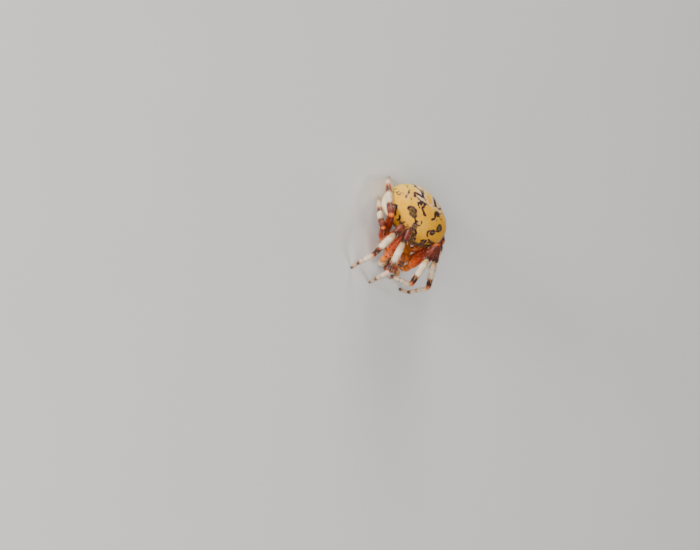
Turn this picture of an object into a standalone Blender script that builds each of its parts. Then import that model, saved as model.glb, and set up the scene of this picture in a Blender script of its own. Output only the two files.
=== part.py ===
"""Marbled orb weaver: a still, life-size female spider standing on its eight feet.

Metres, +Z up, the head towards -Y. Sizes below are in millimetres and are scaled once.
"""
import math

import bmesh
import bpy
from mathutils import Euler, Matrix, Vector

MM = 0.001
GAP = 0.16                      # clear space left between neighbouring segments

# Front body (prosoma): where it stands and how it is tipped
BODY_AT = Vector((-0.14, -0.12, 2.46))
BODY_TILT = (-2.6, -5.6, 0.9)
CARAPACE_LENGTH = 7.0
CARAPACE_WIDTH = 5.9
CARAPACE_HEIGHT = 1.9
CARAPACE_FLOOR = 0.48           # underside of the shield above the coxal level
STERNUM_WIDTH = 2.2
STERNUM_LENGTH = 3.5

# Abdomen: a broad egg carried nose-up over the shield
ABDOMEN_AT = Vector((0.19, 6.63, 5.1))
ABDOMEN_TILT = (-32.6, -10.0, -5.9)
ABDOMEN_WIDTH = 12.9
ABDOMEN_LENGTH = 12.6
ABDOMEN_TOP = 4.25
ABDOMEN_BELLY = 3.55

# Legs: lengths of coxa, femur, patella, tibia, metatarsus and tarsus
LEG_LENGTH = {
    1: (1.9, 7.6, 3.4, 5.3, 5.0, 1.9),
    2: (1.9, 7.1, 3.2, 4.9, 4.7, 1.8),
    3: (1.6, 4.9, 2.2, 2.9, 2.9, 1.3),
    4: (1.9, 6.9, 3.0, 4.9, 4.9, 1.6),
}
LEG_GIRTH = {1: 1.0, 2: 0.97, 3: 0.86, 4: 0.95}
HIP = {
    1: (1.35, -1.55, -0.5),
    2: (1.55, -0.35, -0.6),
    3: (1.5, 0.85, -0.6),
    4: (1.2, 1.95, -0.5),
}
# Directions of coxa, femur, patella, tibia and metatarsus as (heading, pitch) in degrees.
# Heading 0 is straight ahead and 90 straight out to the leg's own side; pitch is upwards.
# The last number is the heading of the tarsus, whose pitch follows from the floor.
LEG_POSE = {
    ("r", 1): ((41, 7), (167, 52), (25, 8), (-1, -23), (-72, -70), -68),
    ("r", 2): ((86, 2), (133, 66), (40, 4), (22, -28), (-46, -74), -26),
    ("r", 3): ((98, -9), (94, 43), (182, -32), (186, -23), (208, -32), 214),
    ("r", 4): ((110, 9), (95, 47), (189, -28), (189, -22), (230, -37), 225),
    ("l", 1): ((42, 25), (190, 65), (-24, -4), (16, -44), (196, -65), 100),
    ("l", 2): ((83, 9), (188, 74), (11, -8), (29, -30), (45, -88), -120),
    ("l", 3): ((104, 21), (118, 41), (95, -14), (73, -50), (67, -52), 68),
    ("l", 4): ((119, 1), (115, 19), (190, -9), (205, -16), (262, -17), 285),
}

# Half thicknesses at the base, the thickest place and the tip of each leg segment
SEGMENT_RADII = {
    "coxa": (0.46, 0.56, 0.54),
    "femur": (0.56, 0.82, 0.66),
    "patella": (0.6, 0.74, 0.62),
    "tibia": (0.56, 0.64, 0.5),
}
METATARSUS_RADII = (0.42, 0.34)
TARSUS_RADIUS = 0.29
FOOT_FLAT_RADIUS = 0.28

# Eyes on the shield's own frame: name -> (across, along, radius)
EYES = {
    "anterior_median": (0.29, -3.2, 0.16),
    "posterior_median": (0.3, -2.72, 0.17),
    "anterior_lateral": (1.02, -2.98, 0.13),
    "posterior_lateral": (1.2, -2.74, 0.13),
}

COLOURS = {
    "abdomen_yellow": (0.82, 0.5, 0.05),
    "shield_orange": (0.55, 0.2, 0.05),
    "leg_orange": (0.75, 0.26, 0.03),
    "leg_red": (0.3, 0.05, 0.02),
    "leg_cream": (0.72, 0.58, 0.42),
    "jaw_brown": (0.22, 0.06, 0.03),
    "palp_cream": (0.65, 0.45, 0.25),
    "belly_dark": (0.12, 0.07, 0.05),
    "eye_black": (0.01, 0.01, 0.01),
}


def clear_scene():
    for old in list(bpy.data.objects):
        bpy.data.objects.remove(old, do_unlink=True)


def make_material(name, colour):
    material = bpy.data.materials.new(name)
    material.use_nodes = True
    shader = material.node_tree.nodes["Principled BSDF"]
    shader.inputs["Base Color"].default_value = (*colour, 1.0)
    shader.inputs["Roughness"].default_value = 0.35
    shader.inputs["Metallic"].default_value = 0.0
    return material


def direction(side, heading, pitch):
    """Unit vector for a heading from straight ahead and a pitch above the level."""
    turn = math.radians(heading)
    lift = math.radians(pitch)
    out = math.sin(turn) * math.cos(lift)
    sign = -1.0 if side == "r" else 1.0
    return Vector((sign * out, -math.cos(turn) * math.cos(lift), math.sin(lift)))


def body_matrix():
    tilt = Euler([math.radians(a) for a in BODY_TILT], "XYZ")
    return Matrix.Translation(BODY_AT) @ tilt.to_matrix().to_4x4()


def abdomen_matrix():
    tilt = Euler([math.radians(a) for a in ABDOMEN_TILT], "XYZ")
    return Matrix.Translation(ABDOMEN_AT) @ tilt.to_matrix().to_4x4()


def add_object(name, data, material, matrix, root):
    data.materials.append(material)
    obj = bpy.data.objects.new(name, data)
    root.users_collection[0].objects.link(obj)
    obj.parent = root
    obj.matrix_local = matrix
    return obj


def tube(name, points, radii, material, matrix, root):
    """A capped tube through the points, with its own half thickness at each."""
    curve = bpy.data.curves.new(name, "CURVE")
    curve.dimensions = "3D"
    curve.bevel_depth = MM
    curve.bevel_resolution = 2
    curve.use_fill_caps = True
    curve.twist_mode = "MINIMUM"
    spline = curve.splines.new("POLY")
    spline.points.add(len(points) - 1)
    for knot, place, radius in zip(spline.points, points, radii):
        knot.co = (*(place * MM), 1.0)
        knot.radius = radius
    return add_object(name, curve, material, matrix, root)


def segment(name, start, end, setbacks, radii, bow, material, root):
    """One leg segment: drawn in at both ends, thickest before the middle, gently bowed."""
    base, thick, tip = radii
    along = end - start
    length = along.length
    turn = along.to_track_quat("Z", "Y").to_matrix().to_4x4()
    matrix = Matrix.Translation(start * MM) @ turn
    first = setbacks[0] / length
    last = 1.0 - setbacks[1] / length
    shape = ((0.0, 0.62 * base), (0.07, base), (0.35, thick), (0.72, 0.5 * (thick + tip)),
             (0.93, tip), (1.0, 0.62 * tip))
    points = []
    widths = []
    for share, radius in shape:
        place = first + (last - first) * share
        points.append(Vector((0.0, bow * length * math.sin(math.pi * place), place * length)))
        widths.append(radius)
    return tube(name, points, widths, material, matrix, root)


def foot(name, joint, ankle, toe, setback, girth, material, root):
    """Metatarsus and tarsus in one piece, ending in a small level flat on the floor."""
    upper, lower = METATARSUS_RADII
    shin = ankle - joint
    start = joint + shin.normalized() * setback
    lift = Vector((0.0, 0.0, 0.3))
    stops = (
        (start, 0.62 * upper * girth),
        (start.lerp(ankle, 0.08), upper * girth),
        (start.lerp(ankle, 0.5), 0.5 * (upper + lower) * girth),
        (start.lerp(ankle, 0.9), lower * girth),
        (ankle, 0.9 * lower),
        (ankle.lerp(toe + lift, 0.4), TARSUS_RADIUS),
        (toe + lift, TARSUS_RADIUS),
        (toe, FOOT_FLAT_RADIUS),
    )
    points = [place - joint for place, _ in stops]
    widths = [radius for _, radius in stops]
    return tube(name, points, widths, material, Matrix.Translation(joint * MM), root)


def leg_joints(side, pair):
    """The seven joints of a leg from the hip to the tip of the foot, which is on the floor."""
    across, along, up = HIP[pair]
    sign = -1.0 if side == "r" else 1.0
    joints = [body_matrix() @ Vector((sign * across, along, up))]
    pose = LEG_POSE[side, pair]
    lengths = LEG_LENGTH[pair]
    for (heading, pitch), length in zip(pose[:5], lengths):
        joints.append(joints[-1] + direction(side, heading, pitch) * length)
    drop = math.degrees(math.asin(joints[-1].z / lengths[5]))
    joints.append(joints[-1] + direction(side, pose[5], -drop) * lengths[5])
    return joints


def joint_setbacks(joints, radii_by_joint):
    """How far two segments stand back from a shared joint so that they don't touch."""
    backs = [0.12]
    for i in range(1, 5):
        before = (joints[i] - joints[i - 1]).normalized()
        after = (joints[i + 1] - joints[i]).normalized()
        half_turn = before.angle(after) / 2.0
        backs.append(GAP / 2.0 + radii_by_joint[i] * math.tan(half_turn))
    return backs


def make_leg(side, pair, paint, root):
    joints = leg_joints(side, pair)
    girth = LEG_GIRTH[pair]
    ends = [0.0, 0.35, 0.4, 0.38, 0.3]
    backs = joint_setbacks(joints, [r * girth for r in ends])
    colour = {"coxa": "leg_orange", "femur": "leg_red", "patella": "leg_red", "tibia": "leg_cream"}
    bow = {"coxa": 0.0, "femur": 0.03, "patella": 0.03, "tibia": 0.015}
    prefix = "leg_" + side + str(pair) + "_"
    for i, part in enumerate(("coxa", "femur", "patella", "tibia")):
        radii = [r * girth for r in SEGMENT_RADII[part]]
        segment(prefix + part, joints[i], joints[i + 1], (backs[i], backs[i + 1]), radii,
                bow[part], paint[colour[part]], root)
    foot(prefix + "foot", joints[4], joints[5], joints[6], backs[4], girth,
         paint["leg_cream"], root)


def moulded(name, rings, sides, shape, material, matrix, root, smooth=True):
    """A closed ball whose every vertex (a unit direction) is moved by shape()."""
    mesh = bpy.data.meshes.new(name)
    work = bmesh.new()
    bmesh.ops.create_uvsphere(work, u_segments=sides, v_segments=rings, radius=1.0)
    quarter = Matrix.Rotation(math.pi / 2.0, 4, "X")
    bmesh.ops.transform(work, matrix=quarter, verts=work.verts)
    for vertex in work.verts:
        vertex.co = Vector(shape(vertex.co)) * MM
    bmesh.ops.recalc_face_normals(work, faces=work.faces)
    for face in work.faces:
        face.smooth = smooth
    work.to_mesh(mesh)
    work.free()
    return add_object(name, mesh, material, matrix, root)


def ease(value, low, high):
    """0 below low, 1 above high, with a soft step between."""
    share = min(max((value - low) / (high - low), 0.0), 1.0)
    return share * share * (3.0 - 2.0 * share)


def abdomen_shape(unit):
    """Broad egg: full shoulders in front, a blunt taper behind, a flatter belly."""
    x, y, z = unit
    width = 0.5 * ABDOMEN_WIDTH * (1.0 - 0.07 * y - 0.05 * y * y)
    height = ABDOMEN_TOP if z > 0.0 else ABDOMEN_BELLY
    if z < 0.0:
        height -= 0.75 * (1.0 - ease(y, -0.9, 0.5))
    height *= 1.0 - 0.1 * ease(y, 0.2, 1.0)
    return (width * x * 1.03, 0.5 * ABDOMEN_LENGTH * y, height * z)


def carapace_outline(y):
    """Half width of the shield, narrow at the head and round over the leg bases."""
    share = y / (0.5 * CARAPACE_LENGTH)
    thorax = 0.5 * CARAPACE_WIDTH * math.sqrt(max(0.0, 1.0 - ((share - 0.16) / 0.86) ** 2))
    head = 1.5 * math.sqrt(max(0.0, 1.0 - ((share + 0.45) / 0.56) ** 2)) + 0.05
    return max(thorax, head)


def carapace_shape(unit):
    """Low shield with a raised head part, a shallow pit and a thin level rim."""
    x, y, z = unit
    along = 0.5 * CARAPACE_LENGTH * y
    ring = math.sqrt(max(1e-9, 1.0 - y * y))
    across = carapace_outline(along) * x / ring if abs(y) < 0.999 else 0.0
    lift = max(0.0, z / ring) if abs(y) < 0.999 else 0.0
    crest = 0.62 * math.sqrt(max(0.0, 1.0 - y ** 4))
    head = 0.24 * ease(-y, 0.1, 0.45) * (1.0 - ease(-y, 0.86, 1.0))
    fall = 0.3 * ease(y, 0.1, 0.95)
    height = CARAPACE_HEIGHT * (crest + head - fall * crest)
    pit = 0.22 * math.exp(-((along - 0.9) / 0.5) ** 2 - (across / 0.35) ** 2)
    if z <= 0.0:
        return (across, along, CARAPACE_FLOOR)
    return (across, along, CARAPACE_FLOOR + 0.12 + height * lift - pit)


def sternum_shape(unit):
    """Heart-shaped block between the coxae, pointed behind."""
    x, y, z = unit
    width = 0.5 * STERNUM_WIDTH * (1.0 - 0.25 * ease(y, 0.0, 1.0))
    squared = max(-1.0, min(1.0, 1.35 * z))
    return (width * x, 0.15 + 0.5 * STERNUM_LENGTH * y, -0.65 + 0.82 * squared)


def mouth_shape(unit):
    """Lip and the two jaw lobes behind the fangs, drawn together as one pad."""
    x, y, z = unit
    notch = 0.14 * math.exp(-(x / 0.22) ** 2) * max(0.0, -y)
    return (0.82 * x, -2.13 + 0.4 * y + notch, -0.98 + 0.5 * z)


def jaw_shape(sign):
    def shape(unit):
        """Stout chelicera, swollen near the top and drawn in at the fang."""
        x, y, z = unit
        girth = 0.46 + 0.05 * math.sin(math.pi * 0.5 * (z + 1.0)) - 0.1 * ease(-z, 0.3, 1.0)
        lean = 0.12 * (1.0 - z)
        return (sign * 0.56 + girth * x, -3.25 - lean + 0.62 * y, -0.82 + 1.05 * z)
    return shape


def spinneret_shape(unit):
    """Short cone of spinning lobes that points backwards."""
    x, y, z = unit
    lobes = 1.0 + 0.14 * math.cos(4.0 * math.atan2(z, x))
    girth = (0.42 - 0.1 * y) * lobes
    return (girth * x, 0.5 * y, girth * z)


def pedicel_shape(unit):
    x, y, z = unit
    return (0.5 * x, 0.42 * y, 0.36 * z)


def make_palp(side, paint, root):
    """The short feeler beside the jaws, bent down and back at its knee."""
    sign = -1.0 if side == "r" else 1.0
    body = body_matrix()
    stops = ((1.2, -2.4, -0.95, 0.26), (1.45, -2.85, -0.8, 0.3), (1.75, -3.4, -0.55, 0.34),
             (1.95, -3.75, -0.6, 0.33), (2.05, -3.78, -0.95, 0.33), (2.0, -3.55, -1.3, 0.33),
             (1.88, -3.2, -1.6, 0.34), (1.75, -2.85, -1.8, 0.32), (1.65, -2.65, -1.88, 0.26))
    points = [body @ Vector((sign * x, y, z)) for x, y, z, _ in stops]
    radii = [stop[3] for stop in stops]
    tube("palp_" + side, points, radii, paint["palp_cream"], Matrix.Identity(4), root)


def make_eyes(paint, root):
    """Eight small beads in two rows, just clear of the shield."""
    body = body_matrix()
    for name, (across, along, radius) in EYES.items():
        for side, sign in (("r", -1.0), ("l", 1.0)):
            share = along / (0.5 * CARAPACE_LENGTH)
            span = min(0.98, across / carapace_outline(along))
            lift = math.sqrt(1.0 - span * span)
            ring = math.sqrt(1.0 - share * share)
            skin = Vector(carapace_shape((ring * span, share, ring * lift)))
            middle = Vector((0.0, -1.2, 0.9))
            out = (skin - middle).normalized()
            centre = skin + out * (radius + 0.03)
            centre.x *= sign
            size = radius
            moulded("eye_" + name + "_" + side, 6, 8, lambda u, r=size: Vector(u) * r,
                    paint["eye_black"], Matrix.Translation((body @ centre) * MM), root)


def scaled(matrix):
    """The same placing with its shift in metres."""
    placed = matrix.copy()
    placed.translation *= MM
    return placed


def centre_on_floor(root):
    """Move the whole animal so that the middle of its footprint box is the origin."""
    bpy.context.view_layer.update()
    graph = bpy.context.evaluated_depsgraph_get()
    low = Vector((1.0, 1.0, 1.0))
    high = -low
    for obj in root.children:
        solid = obj.evaluated_get(graph).to_mesh()
        for vertex in solid.vertices:
            place = obj.matrix_world @ vertex.co
            low = Vector(map(min, low, place))
            high = Vector(map(max, high, place))
    root.location = (-(low.x + high.x) / 2.0, -(low.y + high.y) / 2.0, -low.z)
    print("shift", [round(v, 6) for v in root.location])


def main():
    clear_scene()
    collection = bpy.data.collections.new("orb_weaver")
    bpy.context.scene.collection.children.link(collection)
    root = bpy.data.objects.new("orb_weaver", None)
    collection.objects.link(root)
    paint = {name: make_material(name, colour) for name, colour in COLOURS.items()}

    body = scaled(body_matrix())
    tail = scaled(abdomen_matrix())
    moulded("carapace", 22, 24, carapace_shape, paint["shield_orange"], body, root)
    moulded("sternum", 10, 14, sternum_shape, paint["belly_dark"], body, root)
    moulded("mouthparts", 8, 12, mouth_shape, paint["jaw_brown"], body, root)
    moulded("chelicera_r", 10, 12, jaw_shape(-1.0), paint["jaw_brown"], body, root)
    moulded("chelicera_l", 10, 12, jaw_shape(1.0), paint["jaw_brown"], body, root)
    waist = body @ Matrix.Translation(Vector((0.0, 3.45, -0.05)) * MM)
    moulded("pedicel", 6, 10, pedicel_shape, paint["jaw_brown"], waist, root)
    moulded("abdomen", 22, 32, abdomen_shape, paint["abdomen_yellow"], tail, root)
    spin = tail @ Matrix.Translation(Vector((0.0, 6.62, -1.05)) * MM)
    moulded("spinnerets", 8, 12, spinneret_shape, paint["belly_dark"], spin, root)
    for side in ("r", "l"):
        make_palp(side, paint, root)
        for pair in (1, 2, 3, 4):
            make_leg(side, pair, paint, root)
    make_eyes(paint, root)
    centre_on_floor(root)


main()
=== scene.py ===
# %% [markdown]
# # A marbled orb weaver, dressed over its solids
# This lesson turns the plain solids of an orb-weaving spider into a finished model. A spider
# wears its skeleton outside, so every surface is a thin shell: hard and glossy on the legs and
# the front shield, thin and satiny on the swollen abdomen. Everything is worked out in
# millimetres with numpy, on grids of points, and turned into metres when a mesh is made.

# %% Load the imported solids
import math

import bpy
import numpy as np
from mathutils import Matrix, Vector


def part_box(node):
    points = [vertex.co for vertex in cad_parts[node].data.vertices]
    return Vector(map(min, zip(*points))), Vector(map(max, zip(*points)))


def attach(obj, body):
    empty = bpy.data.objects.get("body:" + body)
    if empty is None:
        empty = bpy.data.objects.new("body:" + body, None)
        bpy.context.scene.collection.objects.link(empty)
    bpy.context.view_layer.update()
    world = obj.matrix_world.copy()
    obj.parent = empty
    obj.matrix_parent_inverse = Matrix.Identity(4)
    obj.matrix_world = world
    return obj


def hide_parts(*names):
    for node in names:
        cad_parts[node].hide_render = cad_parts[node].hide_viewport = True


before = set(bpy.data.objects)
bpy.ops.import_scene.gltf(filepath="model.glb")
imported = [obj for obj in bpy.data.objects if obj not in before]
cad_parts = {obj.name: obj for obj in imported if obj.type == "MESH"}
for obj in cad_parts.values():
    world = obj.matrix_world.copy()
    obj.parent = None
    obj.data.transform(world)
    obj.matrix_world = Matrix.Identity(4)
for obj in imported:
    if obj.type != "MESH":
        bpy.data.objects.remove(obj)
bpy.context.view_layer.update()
MM = 0.001
random = np.random.default_rng(7)

# %% [markdown]
# ## Where the two halves of the body stand
# The front half carries the legs, the eyes and the jaws. The abdomen is held nose-up over it.
# Each half has its own axes: x across, y towards the tail, z up its back. Two turned empties could
# carry the halves. Here a small matrix turns the points into the room's axes instead, about x, then
# y, then z, so that every mesh is made where it belongs.

# %% Placing the two halves
ORIGIN = np.array([-1.676, -3.082, 0.0])        # moves the footprint's middle to the origin
BODY_AT = np.array([-0.14, -0.12, 2.46]) + ORIGIN
BODY_TILT = (-2.6, -5.6, 0.9)
ABDOMEN_AT = np.array([0.19, 6.63, 5.1]) + ORIGIN
ABDOMEN_TILT = (-32.6, -10.0, -5.9)


def turn_matrix(degrees):
    """Rotation about x, then y, then z, as the product Rz Ry Rx."""
    a, b, c = np.radians(degrees)
    about_x = [[1, 0, 0], [0, np.cos(a), -np.sin(a)], [0, np.sin(a), np.cos(a)]]
    about_y = [[np.cos(b), 0, np.sin(b)], [0, 1, 0], [-np.sin(b), 0, np.cos(b)]]
    about_z = [[np.cos(c), -np.sin(c), 0], [np.sin(c), np.cos(c), 0], [0, 0, 1]]
    return np.array(about_z) @ np.array(about_y) @ np.array(about_x)


BODY_TURN = turn_matrix(BODY_TILT)
ABDOMEN_TURN = turn_matrix(ABDOMEN_TILT)


def on_body(points):
    """Points given on the front half's axes, moved to the room's axes."""
    return np.asarray(points) @ BODY_TURN.T + BODY_AT


def on_abdomen(points):
    """Points given on the abdomen's axes, moved to the room's axes."""
    return np.asarray(points) @ ABDOMEN_TURN.T + ABDOMEN_AT


def node_centre(node):
    """Middle of a solid's box, in millimetres."""
    low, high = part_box(node)
    return np.array([(a + b) / 2 / MM for a, b in zip(low, high)])


print("abdomen: its solid's centre", node_centre("abdomen").round(2), "its own", ABDOMEN_AT)

# %% [markdown]
# ## A skin from rings
# Nearly every piece of a spider is a closed sleeve: rings of points from one end to the other,
# with a single point closing each end. One could model it by hand or sweep a curve, but a plain
# array of rings keeps full control of the shape. One function turns the rings into a mesh, gives
# it an unwrap (along the sleeve and around it) and stores any numbers that its finish needs.

# %% Two soft curves, and the faces and unwrap of a sleeve
def smooth_step(value, low, high):
    """0 below low, 1 above high, and 3t^2 - 2t^3 between."""
    t = np.clip((np.asarray(value, float) - low) / (high - low), 0.0, 1.0)
    return t * t * (3.0 - 2.0 * t)


def hump(distance, width):
    """1 at no distance, falling to nothing as exp(-(distance / width)^2)."""
    return np.exp(-(distance / width) ** 2)


def sleeve_faces(rows, sides):
    """Corner numbers of the quads between rings and of the fans at both ends."""
    r, c = np.meshgrid(np.arange(rows - 1), np.arange(sides), indexing="ij")
    here = 1 + r * sides + c
    beside = 1 + r * sides + (c + 1) % sides
    quads = np.stack([here, beside, beside + sides, here + sides], -1).reshape(-1, 4)
    c = np.arange(sides)
    first = np.stack([np.zeros(sides, int), 1 + (c + 1) % sides, 1 + c], -1)
    end = 1 + rows * sides
    base = 1 + (rows - 1) * sides
    last = np.stack([np.full(sides, end), base + c, base + (c + 1) % sides], -1)
    return quads, first, last


def sleeve_unwrap(rows, sides):
    """Unwrap places for each face corner: around the sleeve is u, along it is v."""
    r, c = np.meshgrid(np.arange(rows - 1), np.arange(sides), indexing="ij")
    u0, u1 = c / sides, (c + 1) / sides
    v0, v1 = (r + 1) / (rows + 1), (r + 2) / (rows + 1)
    quads = np.stack([u0, v0, u1, v0, u1, v1, u0, v1], -1).reshape(-1, 2)
    c = np.arange(sides)
    u0, u1, um = c / sides, (c + 1) / sides, (c + 0.5) / sides
    near = np.full(sides, 1.0 / (rows + 1))
    far = np.full(sides, rows / (rows + 1))
    first = np.stack([um, 0 * near, u1, near, u0, near], -1).reshape(-1, 2)
    last = np.stack([um, 1 + 0 * far, u0, far, u1, far], -1).reshape(-1, 2)
    return np.concatenate([quads, first, last])


print("a sleeve of 3 rings of 4 points has", sum(map(len, sleeve_faces(3, 4))), "faces")

# %% Sleeves: rings of points become a closed skin
def make_mesh(name, points, faces, unwrap=None, numbers=None, colours=None):
    """One mesh object at the origin from point and face arrays, smooth, its faces wound as given."""
    mesh = bpy.data.meshes.new(name)
    corners = np.concatenate([group.ravel() for group in faces]).astype(np.int32)
    sizes = np.concatenate([np.full(len(group), group.shape[1]) for group in faces])
    mesh.vertices.add(len(points))
    mesh.vertices.foreach_set("co", (np.asarray(points) * MM).astype(np.float32).ravel())
    mesh.loops.add(len(corners))
    mesh.loops.foreach_set("vertex_index", corners)
    mesh.polygons.add(len(sizes))
    starts = np.concatenate([[0], np.cumsum(sizes)[:-1]]).astype(np.int32)
    mesh.polygons.foreach_set("loop_start", starts)
    mesh.polygons.foreach_set("use_smooth", np.ones(len(sizes), bool))
    if unwrap is not None:
        layer = mesh.uv_layers.new(name="OFBake")
        layer.data.foreach_set("uv", unwrap.astype(np.float32).ravel())
    for key, values in (numbers or {}).items():
        layer = mesh.attributes.new(key, "FLOAT", "POINT")
        layer.data.foreach_set("value", np.asarray(values, np.float32).ravel())
    for key, values in (colours or {}).items():
        rgba = np.ones((len(points), 4), np.float32)
        rgba[:, :3] = values
        layer = mesh.attributes.new(key, "FLOAT_COLOR", "POINT")
        layer.data.foreach_set("color", rgba.ravel())
    mesh.update(calc_edges=True)
    mesh.validate()
    piece = bpy.data.objects.new(name, mesh)
    bpy.context.scene.collection.objects.link(piece)
    return piece


def all_points(start, rings, end):
    """Start point, rings and end point in the order that a sleeve stores them."""
    return np.concatenate([[start], rings.reshape(-1, 3), [end]])


def sleeve(name, start, rings, end, numbers=None, colours=None):
    """A closed skin: start point, rings (rows, sides, 3) and end point, wound to face out."""
    rows, sides = rings.shape[:2]
    points = all_points(start, rings, end)
    quads, first, last = sleeve_faces(rows, sides)
    unwrap = sleeve_unwrap(rows, sides)
    middle = points.mean(0)
    a, b, c = (points[quads[:, k]] - middle for k in range(3))
    inside_out = np.einsum("ij,ij->i", a, np.cross(b, c)).sum() < 0
    if inside_out:
        split = len(quads) * 4
        around_quads = unwrap[:split].reshape(-1, 4, 2)[:, ::-1]
        around_fans = unwrap[split:].reshape(-1, 3, 2)[:, ::-1]
        unwrap = np.concatenate([around_quads.reshape(-1, 2), around_fans.reshape(-1, 2)])
        quads, first, last = quads[:, ::-1], first[:, ::-1], last[:, ::-1]
    return make_mesh(name, points, [quads, first, last], unwrap, numbers, colours)


def with_ends(ring_values):
    """Values for the rings' points, with the first and the last given to the two end points."""
    return np.concatenate([ring_values[:1], ring_values, ring_values[-1:]])


def one_tint(rings, tint):
    """The same colour for every point of a sleeve."""
    return {"tint": np.tile(tint, (rings.shape[0] * rings.shape[1] + 2, 1))}


def from_table(place, stops, table):
    """Rows of a table mixed at each place: stops are the places of its rows."""
    return np.stack([np.interp(place, stops, column) for column in table.T], -1)


print("sleeve helpers ready")

# %% [markdown]
# ## The abdomen's shape
# The abdomen is a broad egg, with full shoulders in front, a blunt tail and a flatter belly. A
# sphere is the usual start, but its poles would pinch the pattern at the nose. Here the poles are
# put out at the two flanks instead: one angle runs across from flank to flank, and the other runs
# round the body from the back over the nose and under the belly. The points are spaced more
# closely over the back and nose, where the markings are.

# %% The abdomen: a broad egg with its poles at the flanks
ABDOMEN_WIDTH = 13.2
ABDOMEN_LENGTH = 12.5
ABDOMEN_TOP = 4.2
ABDOMEN_BELLY = 3.5
PATTERNED = (-62.0, 128.0)      # round-angles that carry fine marks, in degrees
FINE_STEP, PLAIN_STEP, ACROSS_STEP = 0.72, 1.7, 0.85


def abdomen_surface(unit):
    """Unit directions to the egg: half width 1 - 0.07y - 0.05y^2, top and belly of their own."""
    x, y, z = np.moveaxis(unit, -1, 0)
    width = 0.5 * ABDOMEN_WIDTH * (1.0 - 0.07 * y - 0.05 * y * y)
    belly = ABDOMEN_BELLY - 0.75 * (1.0 - smooth_step(y, -0.9, 0.5))
    height = np.where(z > 0.0, ABDOMEN_TOP, belly) * (1.0 - 0.1 * smooth_step(y, 0.2, 1.0))
    return np.stack([width * x, 0.5 * ABDOMEN_LENGTH * y, height * z], -1)


def flank_chart(across, around):
    """Unit direction from two angles in degrees: 0, 0 is the top of the back, 0, 90 the nose."""
    a, b = np.radians(across), np.radians(around)
    return np.stack([np.sin(a), -np.cos(a) * np.sin(b), np.cos(a) * np.cos(b)], -1)


BULGES = (      # across, around and spread in degrees, the move in mm, and its way in the room
    (2.0, 135.0, 33.0, 1.15, (0.38, -0.92, -0.12)),
    (-8.0, 325.0, 26.0, 0.32, (-0.38, 0.92, 0.12)),
    (-56.0, 172.0, 27.0, 0.65, (-0.64, -0.17, -0.75)),
)


def swollen(points, unit):
    """The egg with its bulges: each adds its move times a hump of its spread."""
    for across_angle, around_angle, spread, size, way in BULGES:
        centre = flank_chart(across_angle, around_angle)
        angle = np.degrees(np.arccos(np.clip(unit @ centre, -1.0, 1.0)))
        points = points + hump(angle, spread)[..., None] * size * np.array(way)
    return points


fine = np.arange(PATTERNED[0], PATTERNED[1], FINE_STEP)
plain = np.arange(PATTERNED[1], PATTERNED[0] + 360.0 - 0.5 * PLAIN_STEP, PLAIN_STEP)
around = np.concatenate([fine, plain])
across = np.arange(-90.0 + ACROSS_STEP, 90.0 - 0.5 * ACROSS_STEP, ACROSS_STEP)
abdomen_unit = flank_chart(*np.meshgrid(across, around, indexing="ij"))
print("abdomen grid", abdomen_unit.shape[:2])

# %% [markdown]
# ## The marbling
# The back is golden yellow with dark purple-brown marks in mirrored pairs: an olive ring on each
# shoulder, a lacy chain running down from it to the nose, a short dark stripe behind it, and a
# wavy border that narrows towards the tail. Painting them on a picture would tie the model to
# that picture. Here each mark is a short stroke, given by a few angles away from the midline, and
# each point of the skin stores its distance to the nearest stroke's edge. The finish turns that
# distance into a crisp, slightly ragged line at any size.

# %% Strokes of the marbling: half width in degrees, then (across, around) angles
SHOULDER_INK = (
    (1.4, ((-34, 40), (-38, 43), (-41, 48), (-40, 53), (-36, 58), (-31, 61), (-26, 60), (-25, 55),
           (-27, 48), (-29, 43), (-34, 40))),
    (1.6, ((-26, 61), (-23, 66), (-21, 70), (-17, 71), (-13, 69))),
    (1.1, ((-20, 64), (-21, 69))),
    (1.4, ((-14, 59), (-12, 64), (-12, 70), (-9, 75))),
    (1.4, ((-21, 70), (-23, 75), (-24, 80), (-26, 86), (-29, 92))),
    (1.5, ((-13, 70), (-15, 75), (-16, 80), (-14, 84), (-11, 88), (-9, 94), (-8, 100), (-6, 108),
           (-5, 118))),
    (1.0, ((-20, 72), (-19, 78), (-20, 84), (-17, 89), (-18, 96), (-14, 104), (-15, 114))),
    (0.9, ((-24, 80), (-19, 79), (-16, 81))),
    (1.0, ((-29, 84), (-28, 90), (-22, 92), (-17, 90))),
    (1.3, ((-48, 82), (-45, 88), (-44, 96), (-38, 92), (-35, 84), (-37, 92), (-31, 96), (-28, 92))),
    (1.0, ((-44, 96), (-45, 106), (-38, 110), (-31, 104), (-31, 96))),
    (1.5, ((21, 44), (28, 44), (30, 49), (28, 55), (24, 59), (18, 59), (18, 52), (21, 44))),
    (1.8, ((24, 59), (16, 61), (10, 64), (6, 67), (4, 71), (6, 76), (9, 80), (13, 84), (17, 87))),
    (1.3, ((20, 61), (18, 66), (15, 71), (11, 73), (9, 69))),
    (1.2, ((17, 87), (22, 84), (26, 86), (31, 92), (36, 90), (40, 96))),
    (1.3, ((13, 84), (12, 91), (6, 90), (4, 98), (6, 106), (4, 116))),
    (1.1, ((12, 91), (10, 100), (12, 108), (18, 104), (17, 96), (17, 87))),
    (1.0, ((17, 96), (25, 98), (31, 92))),
    (1.0, ((31, 101), (21, 106), (10, 109), (-1, 110), (-14, 112))),
    (1.9, ((31, 113), (18, 119), (4, 124), (-12, 125), (-28, 121))),
)
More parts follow.
